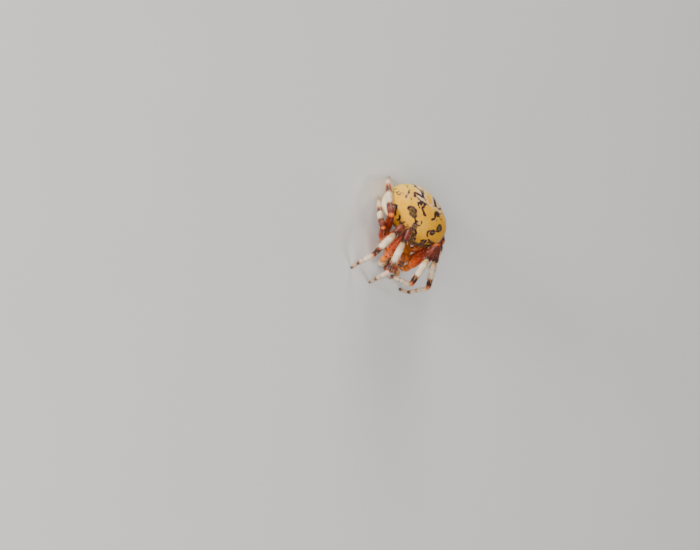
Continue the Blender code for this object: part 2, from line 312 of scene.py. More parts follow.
COMMA_INK = (
    (2.6, ((-12, 43), (-15, 39), (-18, 36), (-18, 31))),
    (2.3, ((-18, 31), (-16, 27), (-15, 23), (-13, 19), (-18, 18), (-22, 22), (-21, 27))),
    (1.7, ((-22, 22), (-27, 25), (-25, 29))),
    (1.7, ((-21, 19), (-25, 15), (-29, 12), (-31, 9))),
    (0.8, ((-24, 31), (-23, 35))),
    (2.4, ((-33, 12), (-31, 8), (-33, 3), (-30, 0), (-25, 2))),
    (3.3, ((-26, 2), (-21, 4), (-18, 5), (-17, 0), (-16, -5), (-18, -10))),
    (1.4, ((-16, -4), (-12, -11), (-15, -18))),
    (2.1, ((-18, -10), (-22, -15), (-26, -22), (-22, -31), (-27, -41), (-20, -50), (-24, -60),
           (-17, -70), (-19, -79), (-13, -88), (-11, -98))),
    (0.8, ((-14, 8), (-11, 14), (-12, 20), (-7, 17))),
    (1.6, ((-42, -3), (-43, 4), (-46, 10), (-48, 20))),
    (0.8, ((-46, 10), (-43, 13))),
    (0.9, ((-39, -8), (-42, -1))),
    (1.0, ((-40, 19), (-38, 23))),
    (1.2, ((-42, -14), (-41, -22))),
    (2.3, ((2, 44), (5, 41), (8, 37), (7, 31), (8, 26), (10, 22), (15, 21))),
    (1.0, ((8, 37), (13, 40))),
    (3.6, ((11, 25), (16, 25), (13, 28))),
    (0.9, ((16, 22), (20, 19), (25, 14), (30, 8))),
    (1.0, ((20, 32), (25, 28))),
    (1.1, ((0, 17), (4, 13), (8, 10))),
    (3.6, ((9, 8), (8, 2), (9, -5), (12, -12))),
    (1.9, ((9, 7), (15, 10), (20, 7), (24, 0), (29, -7))),
    (2.2, ((12, -12), (15, -20), (18, -29), (12, -38), (17, -48), (11, -57), (14, -66), (7, -76),
           (8, -85), (3, -94), (1, -103))),
    (1.0, ((36, -7), (38, 3), (43, 12))),
)
FLANK_INK = (
    (1.5, ((-66, -5), (-66, 4), (-65, 12), (-60, 12), (-58, 8), (-52, 7))),
    (1.0, ((-61, -6), (-62, 2))),
    (1.6, ((-60, 60), (-63, 66), (-68, 70), (-69, 77), (-65, 82), (-66, 90))),
    (1.6, ((-60, 60), (-59, 68), (-57, 76), (-56, 86), (-53, 95), (-56, 104))),
    (1.1, ((-64, 70), (-62, 78), (-61, 88))),
    (0.9, ((-76, 27), (-76, 45))),
    (1.1, ((-72, -25), (-72, -6))),
)
print("ink strokes by hand", len(SHOULDER_INK) + len(COMMA_INK) + len(FLANK_INK))

# %% Olive patches, and where the whole pattern sits
OLIVE = (
    (6.2, ((-34, 46), (-31, 55))), (5.2, ((24, 48), (23, 55))),
    (3.4, ((-20, 74), (-20, 86))), (3.0, ((14, 64), (12, 70))),
    (3.8, ((-14, 95), (-11, 116))), (3.8, ((9, 93), (8, 116))),
    (3.6, ((-38, 97), (-36, 105))), (3.4, ((20, 91), (26, 93))),
    (4.2, ((-64, 70), (-61, 84))), (4.2, ((56, 70), (53, 84))),
    (5.4, ((28, 107), (14, 114), (-2, 118), (-20, 118))),
)
FLANK_STREAKS = ((34, -28), (45, -40), (39, -55), (50, -68), (33, -76), (58, -22), (62, -48))
MIDLINE = -4.5                  # the pattern's midline lies a little off the body's middle
PATTERN_SLIP = (1.6, 0.8)       # how far the whole pattern is slid, across and around
FAR_FROM_INK = 40.0             # degrees; nothing reads a distance past this
print("olive strokes", len(OLIVE), "streaks on each flank", len(FLANK_STREAKS))

# %% Distance from a direction to the nearest stroke
def stroke_points(knots, step=1.0):
    """Directions every step degrees along a stroke."""
    knots = np.array(knots, float)
    lengths = np.hypot(*np.diff(knots, axis=0).T)
    places = np.concatenate([[0.0], np.cumsum(lengths)])
    where = np.linspace(0.0, places[-1], max(2, int(places[-1] / step) + 1))
    slid = knots + PATTERN_SLIP
    return flank_chart(np.interp(where, places, slid[:, 0]), np.interp(where, places, slid[:, 1]))


def nearest_edge(directions, strokes):
    """Degrees from each direction to the nearest stroke's edge, below zero inside it."""
    nearest = np.full(len(directions), FAR_FROM_INK)
    for half_width, knots in strokes:
        chord = np.linalg.norm(directions[:, None] - stroke_points(knots)[None], axis=-1).min(1)
        nearest = np.minimum(nearest, np.degrees(chord) - half_width)
    return nearest


def mirrored(strokes):
    """The same strokes on the other side of the midline."""
    return [(half, tuple((2 * MIDLINE - a, b) for a, b in knots)) for half, knots in strokes]


ink_strokes = [*SHOULDER_INK, *COMMA_INK, *FLANK_INK, *mirrored(FLANK_INK)]
for out, back in FLANK_STREAKS:
    inner = MIDLINE - out
    streak = [(1.2, ((inner, back), (inner - 4, back - 5), (inner - 10, back - 7)))]
    ink_strokes += streak + mirrored(streak)
print("strokes with mirrored ones and streaks", len(ink_strokes))

# %% [markdown]
# ## Ground colour and belly
# The yellow turns to butter yellow towards the tail. Low on the nose it is painted deepest, a darker
# amber, which is painted shade, and on the flanks it fades to cream, lower down most, which is
# painted light. Close to the dark marks on the nose it pales to a warm lilac. The belly is dark
# brown with two pale bars. One could paint this as a picture, but these are broad, soft changes,
# so a colour stored at each point is enough; the fine grain comes from the finish.

# %% Ground colours of the abdomen
GOLD = np.array([0.8, 0.38, 0.001])
# Painted shade: the deeper amber laid low on the nose.
AMBER_PAINTED_SHADE = np.array([0.62, 0.27, 0.001])
BUTTER = np.array([0.9, 0.56, 0.05])
# Painted light: the pale cream laid on the flanks, lower down most.
CREAM_PAINTED_LIGHT = np.array([0.92, 0.8, 0.58])
LILAC = np.array([0.86, 0.69, 0.55])
BELLY_BROWN = np.array([0.07, 0.035, 0.018])
BELLY_BAR = np.array([0.75, 0.6, 0.25])


def blend(first, second, share):
    """Two colours mixed point by point: first (1 - share) + second share."""
    share = np.clip(share, 0.0, 1.0)[:, None]
    return first * (1.0 - share) + second * share


def abdomen_ground(unit):
    """Gold; amber painted shade low on the nose; butter behind; cream painted light on the flanks; dark
    belly.
    """
    x, y, z = unit.T
    colour = blend(GOLD, BUTTER, smooth_step(y, -0.25, 0.35))
    # Painted shade: amber darkens the nose from below.
    colour = blend(colour, AMBER_PAINTED_SHADE, 0.8 * smooth_step(-y, 0.62, 1.0) * smooth_step(-z, -0.55, 0.3))
    # Painted light: the flanks turn pale cream, the lower parts most.
    colour = blend(colour, CREAM_PAINTED_LIGHT, smooth_step(np.abs(x + 0.04) - 0.3 * z, 0.8, 0.97))
    dark = smooth_step(-z, 0.5, 0.66) * smooth_step(-np.abs(x), -0.8, -0.66)
    bars = hump(np.abs(x) - 0.26, 0.06) * smooth_step(-np.abs(y - 0.1), -0.5, -0.42)
    colour = blend(colour, BELLY_BROWN, dark)
    return blend(colour, BELLY_BAR, dark * bars)


print("ground colour on the nose", abdomen_ground(np.array([[0.0, -1.0, 0.0]])).round(3))

# %% The abdomen's skin: stored numbers, small pits, and the mesh
HALO_STRENGTH = 0.62            # how pale the ground turns close to a mark
POINTS_AT_ONCE = 4000           # the distances are worked out in parts, to save memory


def abdomen_numbers(unit):
    """Everything the abdomen's finish reads: distance to ink and olive, and ground colour."""
    parts = np.array_split(unit, max(1, len(unit) // POINTS_AT_ONCE))
    ink = np.concatenate([nearest_edge(part, ink_strokes) for part in parts])
    olive = np.concatenate([nearest_edge(part, OLIVE) for part in parts])
    halo = (1.0 - smooth_step(ink, 0.5, 6.0)) * (1.0 - smooth_step(-unit[:, 1], 0.2, 0.42))
    pale = halo * (1.0 - smooth_step(np.abs(unit[:, 0]), 0.35, 0.55)) * HALO_STRENGTH
    return {"ink": ink, "olive": olive}, {"ground": blend(abdomen_ground(unit), LILAC, pale)}


PITS = ((12, 52), (15, 14), (11, -28), (8, -55))        # degrees off the midline, and around
PIT_DEPTH = 0.018               # share of the egg's radius
PIT_SPREAD = 0.035              # radius of a pit on the unit ball


def add_pits(points, unit):
    """Two rows of muscle pits down the back, each a shallow hump taken from the radius."""
    for side in (-1, 1):
        for out, along in PITS:
            centre = flank_chart(MIDLINE + side * out, float(along))
            gap = np.linalg.norm(unit - centre, axis=-1)
            points = points * (1.0 - PIT_DEPTH * hump(gap, PIT_SPREAD))[..., None]
    return points


def abdomen_place(unit):
    """Unit directions to the finished skin in the room."""
    return swollen(on_abdomen(add_pits(abdomen_surface(unit), unit)), unit)


abdomen_rings = abdomen_place(abdomen_unit)
flank_units = np.array([[-1.0, 0.0, 0.0], [1.0, 0.0, 0.0]])
flank_points = abdomen_place(flank_units)
abdomen_all = all_points(flank_units[0], abdomen_unit, flank_units[1])
numbers, colours = abdomen_numbers(abdomen_all)
abdomen = sleeve("abdomen_skin", flank_points[0], abdomen_rings, flank_points[1], numbers, colours)
print("abdomen skin faces", len(abdomen.data.polygons))

# %% [markdown]
# ## Limbs
# A spider's leg has seven segments, and the two short ones at the hip are made as one here. Along
# each segment the shell swells to a smooth muscle belly, and at each joint it narrows to a soft
# collar. The leg could be a row of separate tubes, but a single sleeve carried along the bent path
# leaves no gap. Each ring knows how far down the leg it is, from 0 at the hip to 6 at the toe, and
# that number later decides its colour.

# %% The legs' plan: lengths, hips and directions, in mm and in (heading, pitch) degrees
LEG_LENGTH = {
    1: (1.9, 7.6, 3.4, 5.3, 5.0, 1.9),
    2: (1.9, 7.1, 3.2, 4.9, 4.7, 1.8),
    3: (1.6, 4.9, 2.2, 2.9, 2.9, 1.3),
    4: (1.9, 6.9, 3.0, 4.9, 4.9, 1.6),
}
LEG_GIRTH = {1: 1.0, 2: 0.97, 3: 0.86, 4: 0.95}
HIP = {
    1: (1.35, -1.55, -0.5),
    2: (1.55, -0.35, -0.6),
    3: (1.5, 0.85, -0.6),
    4: (1.2, 1.95, -0.5),
}
LEG_POSE = {
    ("r", 1): ((41, 7), (167, 52), (25, 8), (-1, -23), (-72, -70), -68),
    ("r", 2): ((86, 2), (133, 66), (40, 4), (22, -28), (-46, -74), -26),
    ("r", 3): ((98, -9), (94, 43), (182, -32), (186, -23), (208, -32), 214),
    ("r", 4): ((110, 9), (95, 47), (189, -28), (189, -22), (230, -37), 225),
    ("l", 1): ((42, 25), (190, 65), (-24, -4), (16, -44), (196, -65), 100),
    ("l", 2): ((83, 9), (188, 74), (11, -8), (29, -30), (45, -88), -120),
    ("l", 3): ((104, 21), (118, 41), (95, -14), (73, -50), (67, -52), 68),
    ("l", 4): ((119, 1), (115, 19), (190, -9), (205, -16), (262, -17), 285),
}
SIGN = {"r": -1.0, "l": 1.0}    # the right side lies towards -x


def direction(side, heading, pitch):
    """Unit vector: heading turns from straight ahead to the leg's own side, pitch lifts it."""
    turn, lift = math.radians(heading), math.radians(pitch)
    level = math.cos(lift)
    return np.array([SIGN[side] * math.sin(turn) * level, -math.cos(turn) * level, math.sin(lift)])


def leg_joints(side, pair):
    """Seven joints from hip to toe; the last segment's pitch brings the toe to the floor."""
    joints = [on_body(np.array(HIP[pair]) * (SIGN[side], 1.0, 1.0))]
    pose = LEG_POSE[side, pair]
    for (heading, pitch), length in zip(pose[:5], LEG_LENGTH[pair]):
        joints.append(joints[-1] + direction(side, heading, pitch) * length)
    last = LEG_LENGTH[pair][5]
    drop = math.degrees(math.asin(joints[-1][2] / last))
    joints.append(joints[-1] + direction(side, pose[5], -drop) * last)
    return np.array(joints)


def leg_name(key):
    """The start of the names of one leg's pieces and solids."""
    return "leg_" + key[0] + str(key[1]) + "_"


print("right leg 2 toe", leg_joints("r", 2)[-1].round(2))

# %% [markdown]
# ## Carrying rings along a bent path
# A path through sharp knees has to be rounded a little, or the rings fold through each other. The
# path is cut into short steps and smoothed with a small bell-shaped average. Rings are then stood
# across it: their upward axis is carried from ring to ring with as little twist as possible. A
# curve object with a bevel gives a similar tube, but its points can't store a colour.

# %% Paths and frames
PATH_STEP = 0.075
KNEE_ROUNDING = 0.2


def rounded_path(joints, step=PATH_STEP, rounding=KNEE_ROUNDING):
    """Points every step along the joints, smoothed; also the joint count passed at each."""
    lengths = np.linalg.norm(np.diff(joints, axis=0), axis=1)
    places = np.concatenate([[0.0], np.cumsum(lengths)])
    where = np.linspace(0.0, places[-1], int(places[-1] / step) + 1)
    count = np.interp(where, places, np.arange(len(joints)))
    straight = from_table(where, places, joints)
    reach = int(3 * rounding / step)
    bell = np.exp(-0.5 * (np.arange(-reach, reach + 1) * step / rounding) ** 2)
    bell /= bell.sum()
    before = 2 * straight[0] - straight[reach:0:-1]
    after = 2 * straight[-1] - straight[-2:-reach - 2:-1]
    padded = np.concatenate([before, straight, after])
    smooth = np.stack([np.convolve(padded[:, k], bell, "valid") for k in range(3)], -1)
    return smooth, count, where, places


def carried_frames(path, first_up):
    """Tangent, side and up at each point; up is carried along with the least twist."""
    tangent = np.gradient(path, axis=0)
    tangent /= np.linalg.norm(tangent, axis=1, keepdims=True)
    ups = np.empty_like(path)
    up = np.asarray(first_up, float)
    for i, along in enumerate(tangent):
        up = up - along * up.dot(along)
        up = up / np.linalg.norm(up)
        ups[i] = up
    return tangent, np.cross(tangent, ups), ups


def ring_points(path, side, up, width, height, sides):
    """Ovals across the path: path + side cos(a) width + up sin(a) height."""
    angle = np.linspace(0.0, 2.0 * np.pi, sides, endpoint=False)
    across = side[:, None] * (np.cos(angle)[:, None] * width[:, None, None])
    upward = up[:, None] * (np.sin(angle)[:, None] * height[:, None, None])
    return path[:, None] + across + upward


print("path points of right leg 1", len(rounded_path(leg_joints("r", 1))[0]))

# %% [markdown]
# ## How thick a leg is
# Each segment has a base, a thickest place and a tip, and a narrow collar sits at every joint.
# The femur is the stoutest, the tarsus the finest. A sculpted leg would be as good for one, but
# with eight of them a formula from a small table keeps all alike. The numbers stay a little
# inside the solids, which leaves room for the hairs.

# %% Thickness of a leg from hip to toe: base, belly and tip of each segment, in mm
LEG_RADII = ((0.42, 0.53, 0.5), (0.5, 0.78, 0.6), (0.58, 0.69, 0.58), (0.52, 0.6, 0.45),
             (0.38, 0.38, 0.31), (0.28, 0.26, 0.2))
COLLAR_DEPTH = (0.26, 0.22, 0.24, 0.22, 0.18)   # share of the radius, at joints 1 to 5
COLLAR_REACH = 0.2


def leg_radius(count, where, places, girth):
    """Base to belly to tip on each segment, less a hump at each joint for its collar."""
    segment = np.clip(count.astype(int), 0, len(LEG_RADII) - 1)
    share = count - segment
    base, belly, tip = np.array(LEG_RADII)[segment].T
    rise = smooth_step(share, 0.0, 0.36)
    fall = smooth_step(share, 0.3, 1.0)
    radius = base + (belly - base) * rise + (tip - belly) * fall
    for joint, depth in enumerate(COLLAR_DEPTH, start=1):
        radius = radius * (1.0 - depth * hump(where - places[joint], COLLAR_REACH))
    return radius * girth


print("stoutest and finest radius", max(map(max, LEG_RADII)), min(map(min, LEG_RADII)))

# %% [markdown]
# ## Leg colours
# The leg bases are orange, the femora turn from orange to deep red towards the knee, and the
# shins are cream with a dark band before each joint. A striped picture wrapped round the leg
# would smear at the knees, so a table gives the colour at each place down the leg instead, and
# the colour between two places is mixed. On top of that come the small things that keep the legs
# from looking turned on a lathe: wavy band edges and liver-coloured spots on the thighs. Painted
# light and shade come too: a golden glow painted on the top of the shin's band, as of light that
# shows through it, and the left legs' knees painted darker, as painted shade.

# %% Colour down the leg: (joints passed, red, green, blue)
LEG_COLOURS = np.array((
    (0.0, 0.72, 0.16, 0.006), (0.75, 0.76, 0.19, 0.008), (1.0, 0.8, 0.24, 0.012),
    (1.2, 0.72, 0.13, 0.004), (1.45, 0.5, 0.05, 0.003), (1.75, 0.27, 0.024, 0.004),
    (1.94, 0.11, 0.012, 0.005), (1.975, 0.7, 0.08, 0.004), (2.0, 0.95, 0.3, 0.01),
    (2.03, 0.6, 0.06, 0.004), (2.06, 0.1, 0.016, 0.008),
    (2.4, 0.26, 0.042, 0.018), (2.75, 0.17, 0.022, 0.01), (2.94, 0.05, 0.01, 0.006),
    (3.0, 0.6, 0.36, 0.16), (3.07, 0.7, 0.42, 0.2), (3.16, 0.88, 0.7, 0.5),
    (3.56, 0.88, 0.72, 0.52), (3.63, 0.3, 0.09, 0.03), (3.72, 0.06, 0.015, 0.008),
    (3.86, 0.07, 0.016, 0.008), (3.93, 0.6, 0.1, 0.008), (4.0, 0.72, 0.26, 0.05),
    (4.08, 0.88, 0.7, 0.5), (4.45, 0.88, 0.72, 0.54), (4.51, 0.4, 0.22, 0.12),
    (4.58, 0.86, 0.68, 0.5), (4.76, 0.76, 0.55, 0.36), (4.84, 0.12, 0.04, 0.02),
    (4.97, 0.1, 0.03, 0.016), (5.05, 0.74, 0.52, 0.32), (5.5, 0.66, 0.44, 0.26),
    (5.75, 0.14, 0.06, 0.03), (6.0, 0.04, 0.02, 0.014),
))
COLOUR_SLIP = {                 # how far the bands of single legs slip, in joints passed
    ("r", 1): -0.06, ("r", 2): -0.06, ("r", 3): 0.13, ("r", 4): 0.13,
}
BAND_WAVE = 0.014               # how far the bands' edges wander along the leg
FRONT_RIGHT = (("r", 1), ("r", 2))
# Painted glow: the golden colour put on the upward face of the shin's band, as of light shining through
# it.
PAINTED_GLOW_GOLD = np.array([0.8, 0.22, 0.008])
PINKISH = np.array([0.88, 0.58, 0.4])
LIVER = np.array([0.2, 0.016, 0.004])
# Painted shade: the left legs' knees are darkened, as if they lay in shade.
LEFT_KNEE_PAINTED_SHADE = (0.25, 0.4, 0.45)      # how much darker the left legs' knees are, per colour


def stretch(count, start, full, fading, gone):
    """A share that rises from start to full, stays, and falls from fading to gone."""
    return smooth_step(count, start, full) * (1.0 - smooth_step(count, fading, gone))


def leg_colour(count, key, normal):
    """The table's colour at each place down the leg, then small marks, painted glow and painted shade.

    The bands slip a little on the right legs, and their edges wander as sin(n . (4, 7, 5)).
    Where the skin faces up, a golden glow is painted on the band at 3.6 to 3.98, as of light that
    shows through it. The left knees are painted darker, as painted shade. Thigh spots are where
    sin(52 count + 1.5 turn) sin(4 turn + 3 count) is high.
    The two front right legs have deeper spots and a pinkish joint between shin and foot.
    """
    slip = COLOUR_SLIP.get(key, 0.0) * stretch(count, 2.3, 2.8, 4.1, 4.5)
    wave = np.sin(4.0 * normal[:, 0] + 7.0 * normal[:, 1] + 5.0 * normal[:, 2])
    place = count + slip + BAND_WAVE * wave
    colour = from_table(place, LEG_COLOURS[:, 0], LEG_COLOURS[:, 1:])
    # Painted glow: where the band faces up, golden light is painted on.
    painted_glow_band = stretch(place, 3.6, 3.7, 3.9, 3.98)
    colour = blend(colour, PAINTED_GLOW_GOLD, 0.75 * painted_glow_band * smooth_step(normal[:, 2], 0.86, 0.98))
    if key[0] == "l":
        # Painted shade on the left legs' knees.
        knee = stretch(count, 2.05, 2.2, 2.9, 3.0)
        colour = colour * (1.0 - knee[:, None] * LEFT_KNEE_PAINTED_SHADE)
    turn = np.arctan2(normal[:, 2], normal[:, 0])
    spots = np.sin(52.0 * count + 1.5 * turn) * np.sin(4.0 * turn + 3.0 * count)
    thigh = stretch(count, 1.02, 1.15, 1.85, 1.95)
    depth = 0.9 if key in FRONT_RIGHT else 0.6
    colour = blend(colour, LIVER, depth * thigh * smooth_step(spots, 0.05, 0.6))
    joint = stretch(place, 3.9, 3.94, 4.03, 4.1)
    return blend(colour, PINKISH, 0.9 * joint * (key in FRONT_RIGHT))


print("rows in the leg's colour table", len(LEG_COLOURS))

# %% [markdown]
# ## The eight legs
# Each leg is now one sleeve from inside the body to the toe. The hips start a little inside the
# shell, so that no gap shows there, and the toes are lifted by the thickness of the foot, with the
# rings kept above the floor. A few joints are moved by a fraction of a millimetre from the
# solids' plain rods, because a living leg never lies quite straight.

# %% Make the eight legs
LEG_SIDES = 28
LEG_FLATNESS = (0.95, 1.03)     # how wide and how high a ring is, times the radius
HIP_SINK = 0.25                 # how far the hip starts inside, as a share of the coxa
TOE_LIFT = (0.0, 0.0, 0.16)
JOINT_SLIP = {                  # single joints moved a little, in mm
    ("r", 1): {4: (-0.03, -0.4, -0.25)},
    ("r", 2): {4: (-0.06, -0.34, -0.26)},
    ("l", 3): {2: (0.35, 0.45, 0.6), 3: (0.0, 0.25, 0.14)},
    ("l", 4): {2: (0.68, -0.44, 0.42)},
}
legs = {}
leg_frames = {}
for key in LEG_POSE:
    joints = leg_joints(*key)
    joints[-1] += TOE_LIFT
    joints[0] -= (joints[1] - joints[0]) * HIP_SINK
    for joint, slip in JOINT_SLIP.get(key, {}).items():
        joints[joint] += slip
    path, count, where, places = rounded_path(joints)
    tangent, across_axis, up_axis = carried_frames(path, (0.0, 0.0, 1.0))
    radius = leg_radius(count, where, places, LEG_GIRTH[key[1]])
    width, height = radius * LEG_FLATNESS[0], radius * LEG_FLATNESS[1]
    rings = ring_points(path, across_axis, up_axis, width, height, LEG_SIDES)
    rings[..., 2] = np.maximum(rings[..., 2], 0.0)
    tip = path[-1] + tangent[-1] * 0.1
    outward = (rings - path[:, None]).reshape(-1, 3)
    outward /= np.linalg.norm(outward, axis=1, keepdims=True)
    colour = with_ends(leg_colour(np.repeat(count, LEG_SIDES), key, outward))
    legs[key] = sleeve(leg_name(key) + "skin", path[0], rings, tip, colours={"tint": colour})
    leg_frames[key] = (path, count, tangent, across_axis, up_axis, radius)
print("legs", len(legs), "faces each about", len(legs["r", 1].data.polygons))

# %% [markdown]
# ## The shield and the head
# The front half is roofed by one hard shield: narrow and raised at the head, round over the leg
# bases, with a pit in the middle where the stomach muscles hold on. Faint furrows run out from
# the pit between the legs, and a stronger pair marks off the head. Sculpting would be the usual
# way, but a height formula over a plan outline gives all of this at once, and the eyes and the
# hairs can then ask the same formula where the surface is.

# %% The shield: outline in plan, and the places of the eyes
SHIELD_LENGTH = 6.92
SHIELD_WIDTH = 5.8
SHIELD_HEIGHT = 1.86
SHIELD_FLOOR = 0.5
RIM_HEIGHT = 0.1
PIT_AT = 0.9
FURROWS = (38, 74, 106, 140)    # degrees from straight behind, mirrored left and right
EYE_NAMES = ("anterior_median", "posterior_median", "anterior_lateral", "posterior_lateral")


def shield_outline(along):
    """Half width: the larger of a round thorax and a narrower oval head."""
    share = along / (0.5 * SHIELD_LENGTH)
    thorax = 0.5 * SHIELD_WIDTH * np.sqrt(np.clip(1.0 - ((share - 0.16) / 0.86) ** 2, 0.0, None))
    head = 1.46 * np.sqrt(np.clip(1.0 - ((share + 0.45) / 0.56) ** 2, 0.0, None)) + 0.04
    gap = thorax - head
    return 0.5 * (thorax + head + np.sqrt(gap * gap + 0.01))


def to_body(points):
    """Points in the room's axes, moved to the front half's axes."""
    return (np.asarray(points) - BODY_AT) @ BODY_TURN


eye_places = {(name, side): to_body(node_centre("eye_" + name + "_" + side))
              for name in EYE_NAMES for side in ("r", "l")}
print("eyes on the solids", len(eye_places))

# %% The shield's height, in mm
FURROW_DEPTH, FURROW_WIDTH = 0.07, 0.13
NECK_DEPTH, NECK_WIDTH = 0.11, 0.16             # the grooves that mark off the head
MOUND_HEIGHT, MOUND_WIDTH = 0.09, 0.2           # the mound that each eye stands on


def shield_height(across, along, lift):
    """Crest and head arch over the floor, less the pit and the furrows, plus a mound per eye.

    Each dip and mound is its depth times a hump, and lift, 0 at the rim and 1 along the middle,
    carries the arch down to the edge.
    """
    y = along / (0.5 * SHIELD_LENGTH)
    crest = 0.62 * np.sqrt(np.clip(1.0 - y ** 4, 0.0, None))
    head = 0.24 * smooth_step(-y, 0.1, 0.45) * (1.0 - smooth_step(-y, 0.86, 1.0))
    fall = 0.3 * smooth_step(y, 0.1, 0.95)
    height = SHIELD_HEIGHT * (crest + head - fall * crest) * lift
    height -= 0.24 * np.exp(-((along - PIT_AT) / 0.42) ** 2 - (across / 0.2) ** 2)
    out = np.hypot(across, along - PIT_AT)
    bearing = np.degrees(np.arctan2(np.abs(across), along - PIT_AT))
    ridge = smooth_step(out, 0.45, 0.9) * smooth_step(-out, -2.7, -1.9)
    for furrow in FURROWS:
        wander = (bearing - furrow) * np.radians(1.0) * out
        height -= FURROW_DEPTH * ridge * hump(wander, FURROW_WIDTH)
    neck = np.abs(across) - 0.35 - 0.42 * (PIT_AT - along)
    groove = smooth_step(-along, -0.6, -0.1) * smooth_step(along, -2.6, -1.6)
    height -= NECK_DEPTH * groove * hump(neck, NECK_WIDTH) * np.minimum(1.0, 2.0 * lift)
    for place in eye_places.values():
        near = (across - place[0]) ** 2 + (along - place[1]) ** 2
        height += MOUND_HEIGHT * np.exp(-near / MOUND_WIDTH ** 2) * lift
    return height


def shield_roof(along, turn):
    """Roof over a place along the shield: turn runs from the left rim (0) over to the right."""
    across = shield_outline(along) * np.cos(turn)
    lift = np.clip(np.sin(turn), 0.0, None) ** 0.85
    rim = RIM_HEIGHT * (1.0 - np.abs(np.cos(turn)) ** 6)
    return across, SHIELD_FLOOR + rim + shield_height(across, along, lift)


def shield_points(rows, sides):
    """Rings across the shield, from its front edge to its back edge; its floor is nearly flat."""
    y = -np.cos(np.linspace(0.0, np.pi, rows + 2)[1:-1])
    angle = np.linspace(0.0, 2.0 * np.pi, sides, endpoint=False)
    y, angle = np.meshgrid(y, angle, indexing="ij")
    along = 0.5 * SHIELD_LENGTH * y
    across, roof = shield_roof(along, angle)
    floor = SHIELD_FLOOR + 0.04 * np.clip(-np.sin(angle), 0.0, None)
    height = np.where(np.sin(angle) >= 0.0, roof, floor)
    return np.stack([across, along, height], -1)


print("shield's height over the pit", shield_height(0.0, PIT_AT, 1.0).round(2))

# %% The shield's colours
SHIELD_ORANGE = np.array([0.97, 0.28, 0.008])
SHIELD_BROWN = np.array([0.5, 0.11, 0.03])
SOCKET_BROWN = np.array([0.04, 0.012, 0.006])
SHIELD_EDGE = np.array([0.9, 0.25, 0.008])


def shield_colour(points):
    """Orange thorax, red-brown head and midline, dark eye sockets, a paler edge."""
    across, along = points[:, 0], points[:, 1]
    half = shield_outline(along)
    head = smooth_step(-along, 0.3, 1.5) * smooth_step(-np.abs(across), -1.15, -0.6)
    line = hump(across, 0.3) * smooth_step(-along, -2.4, -0.8)
    colour = blend(SHIELD_ORANGE, SHIELD_BROWN, np.maximum(0.85 * head, 0.6 * line))
    for seat in eye_seats.values():
        near = np.linalg.norm(points - seat, axis=1)
        colour = blend(colour, SOCKET_BROWN, 0.85 * hump(near, 0.28))
    return blend(colour, SHIELD_EDGE, smooth_step(np.abs(across) / half, 0.8, 1.0) * (1 - head))


print("shield colours", SHIELD_ORANGE, SHIELD_BROWN)

# %% Make the shield, and find each eye's seat on it
SHIELD_GRID = (150, 132)
shield_rings = shield_points(*SHIELD_GRID)
shield_ends = np.array([[0.0, -0.5 * SHIELD_LENGTH, SHIELD_FLOOR + 0.06],
                        [0.0, 0.5 * SHIELD_LENGTH, SHIELD_FLOOR + 0.06]])
shield_local = all_points(shield_ends[0], shield_rings, shield_ends[1])
eye_seats = {key: shield_local[np.linalg.norm(shield_local - place, axis=1).argmin()]
             for key, place in eye_places.items()}
shield = sleeve("shield", on_body(shield_ends[0]), on_body(shield_rings), on_body(shield_ends[1]),
                colours={"tint": shield_colour(shield_local)})
print("shield faces", len(shield.data.polygons))

# %% [markdown]
# ## Rounded lumps
# The jaws, eyes, breastplate, mouth lobes, waist and spinnerets are all variations on an egg. They
# could start from Blender's own ball and be pulled about, but a single function makes one from
# three half-axes, and can thin it towards one end or bend it, so each of these pieces needs only
# a few numbers. A fang is a hook: a thin sleeve along a curve that narrows to its point.

# %% Eggs of all kinds
def egg(centre, half, rows=24, sides=28, taper=0.0, bend=(0.0, 0.0), square=1.0):
    """Rings of an egg standing on z: radius sin(t)^square (1 + taper z), shifted by bend z^2."""
    t = np.linspace(0.0, np.pi, rows + 2)[1:-1]
    angle = np.linspace(0.0, 2.0 * np.pi, sides, endpoint=False)
    t, angle = np.meshgrid(t, angle, indexing="ij")
    z = -np.cos(t)
    radius = np.sin(t) ** square * (1.0 + taper * z)
    x = half[0] * radius * np.cos(angle) + bend[0] * z * z
    y = half[1] * radius * np.sin(angle) + bend[1] * z * z
    rings = np.stack([x, y, half[2] * z], -1) + centre
    ends = np.array([[bend[0], bend[1], -half[2]], [bend[0], bend[1], half[2]]]) + centre
    return ends[0], rings, ends[1]


def body_egg(name, tint, *args, **kwargs):
    """An egg on the front half's axes, in one colour."""
    start, rings, end = egg(*args, **kwargs)
    return sleeve(name, on_body(start), on_body(rings), on_body(end), colours=one_tint(rings, tint))


def hook_sleeve(name, path, first_up, girth, sides, point, tint):
    """A hook in one colour: rings of the given girth along a path, and point mm past its end."""
    tangent, hook_side, hook_up = carried_frames(path, first_up)
    rings = ring_points(path, hook_side, hook_up, girth, girth, sides)
    return sleeve(name, path[0], rings, path[-1] + tangent[-1] * point, colours=one_tint(rings, tint))


def join(name, parts):
    """Several pieces made one mesh object; their point colours and unwraps stay."""
    bpy.ops.object.select_all(action="DESELECT")
    for part in parts:
        part.select_set(True)
    bpy.context.view_layer.objects.active = parts[0]
    bpy.ops.object.join()
    parts[0].name = name
    parts[0].data.name = name
    return parts[0]


print("an egg has", egg((0.0, 0.0, 0.0), (1.0, 1.0, 1.0))[1].shape[:2], "rings and points in each")

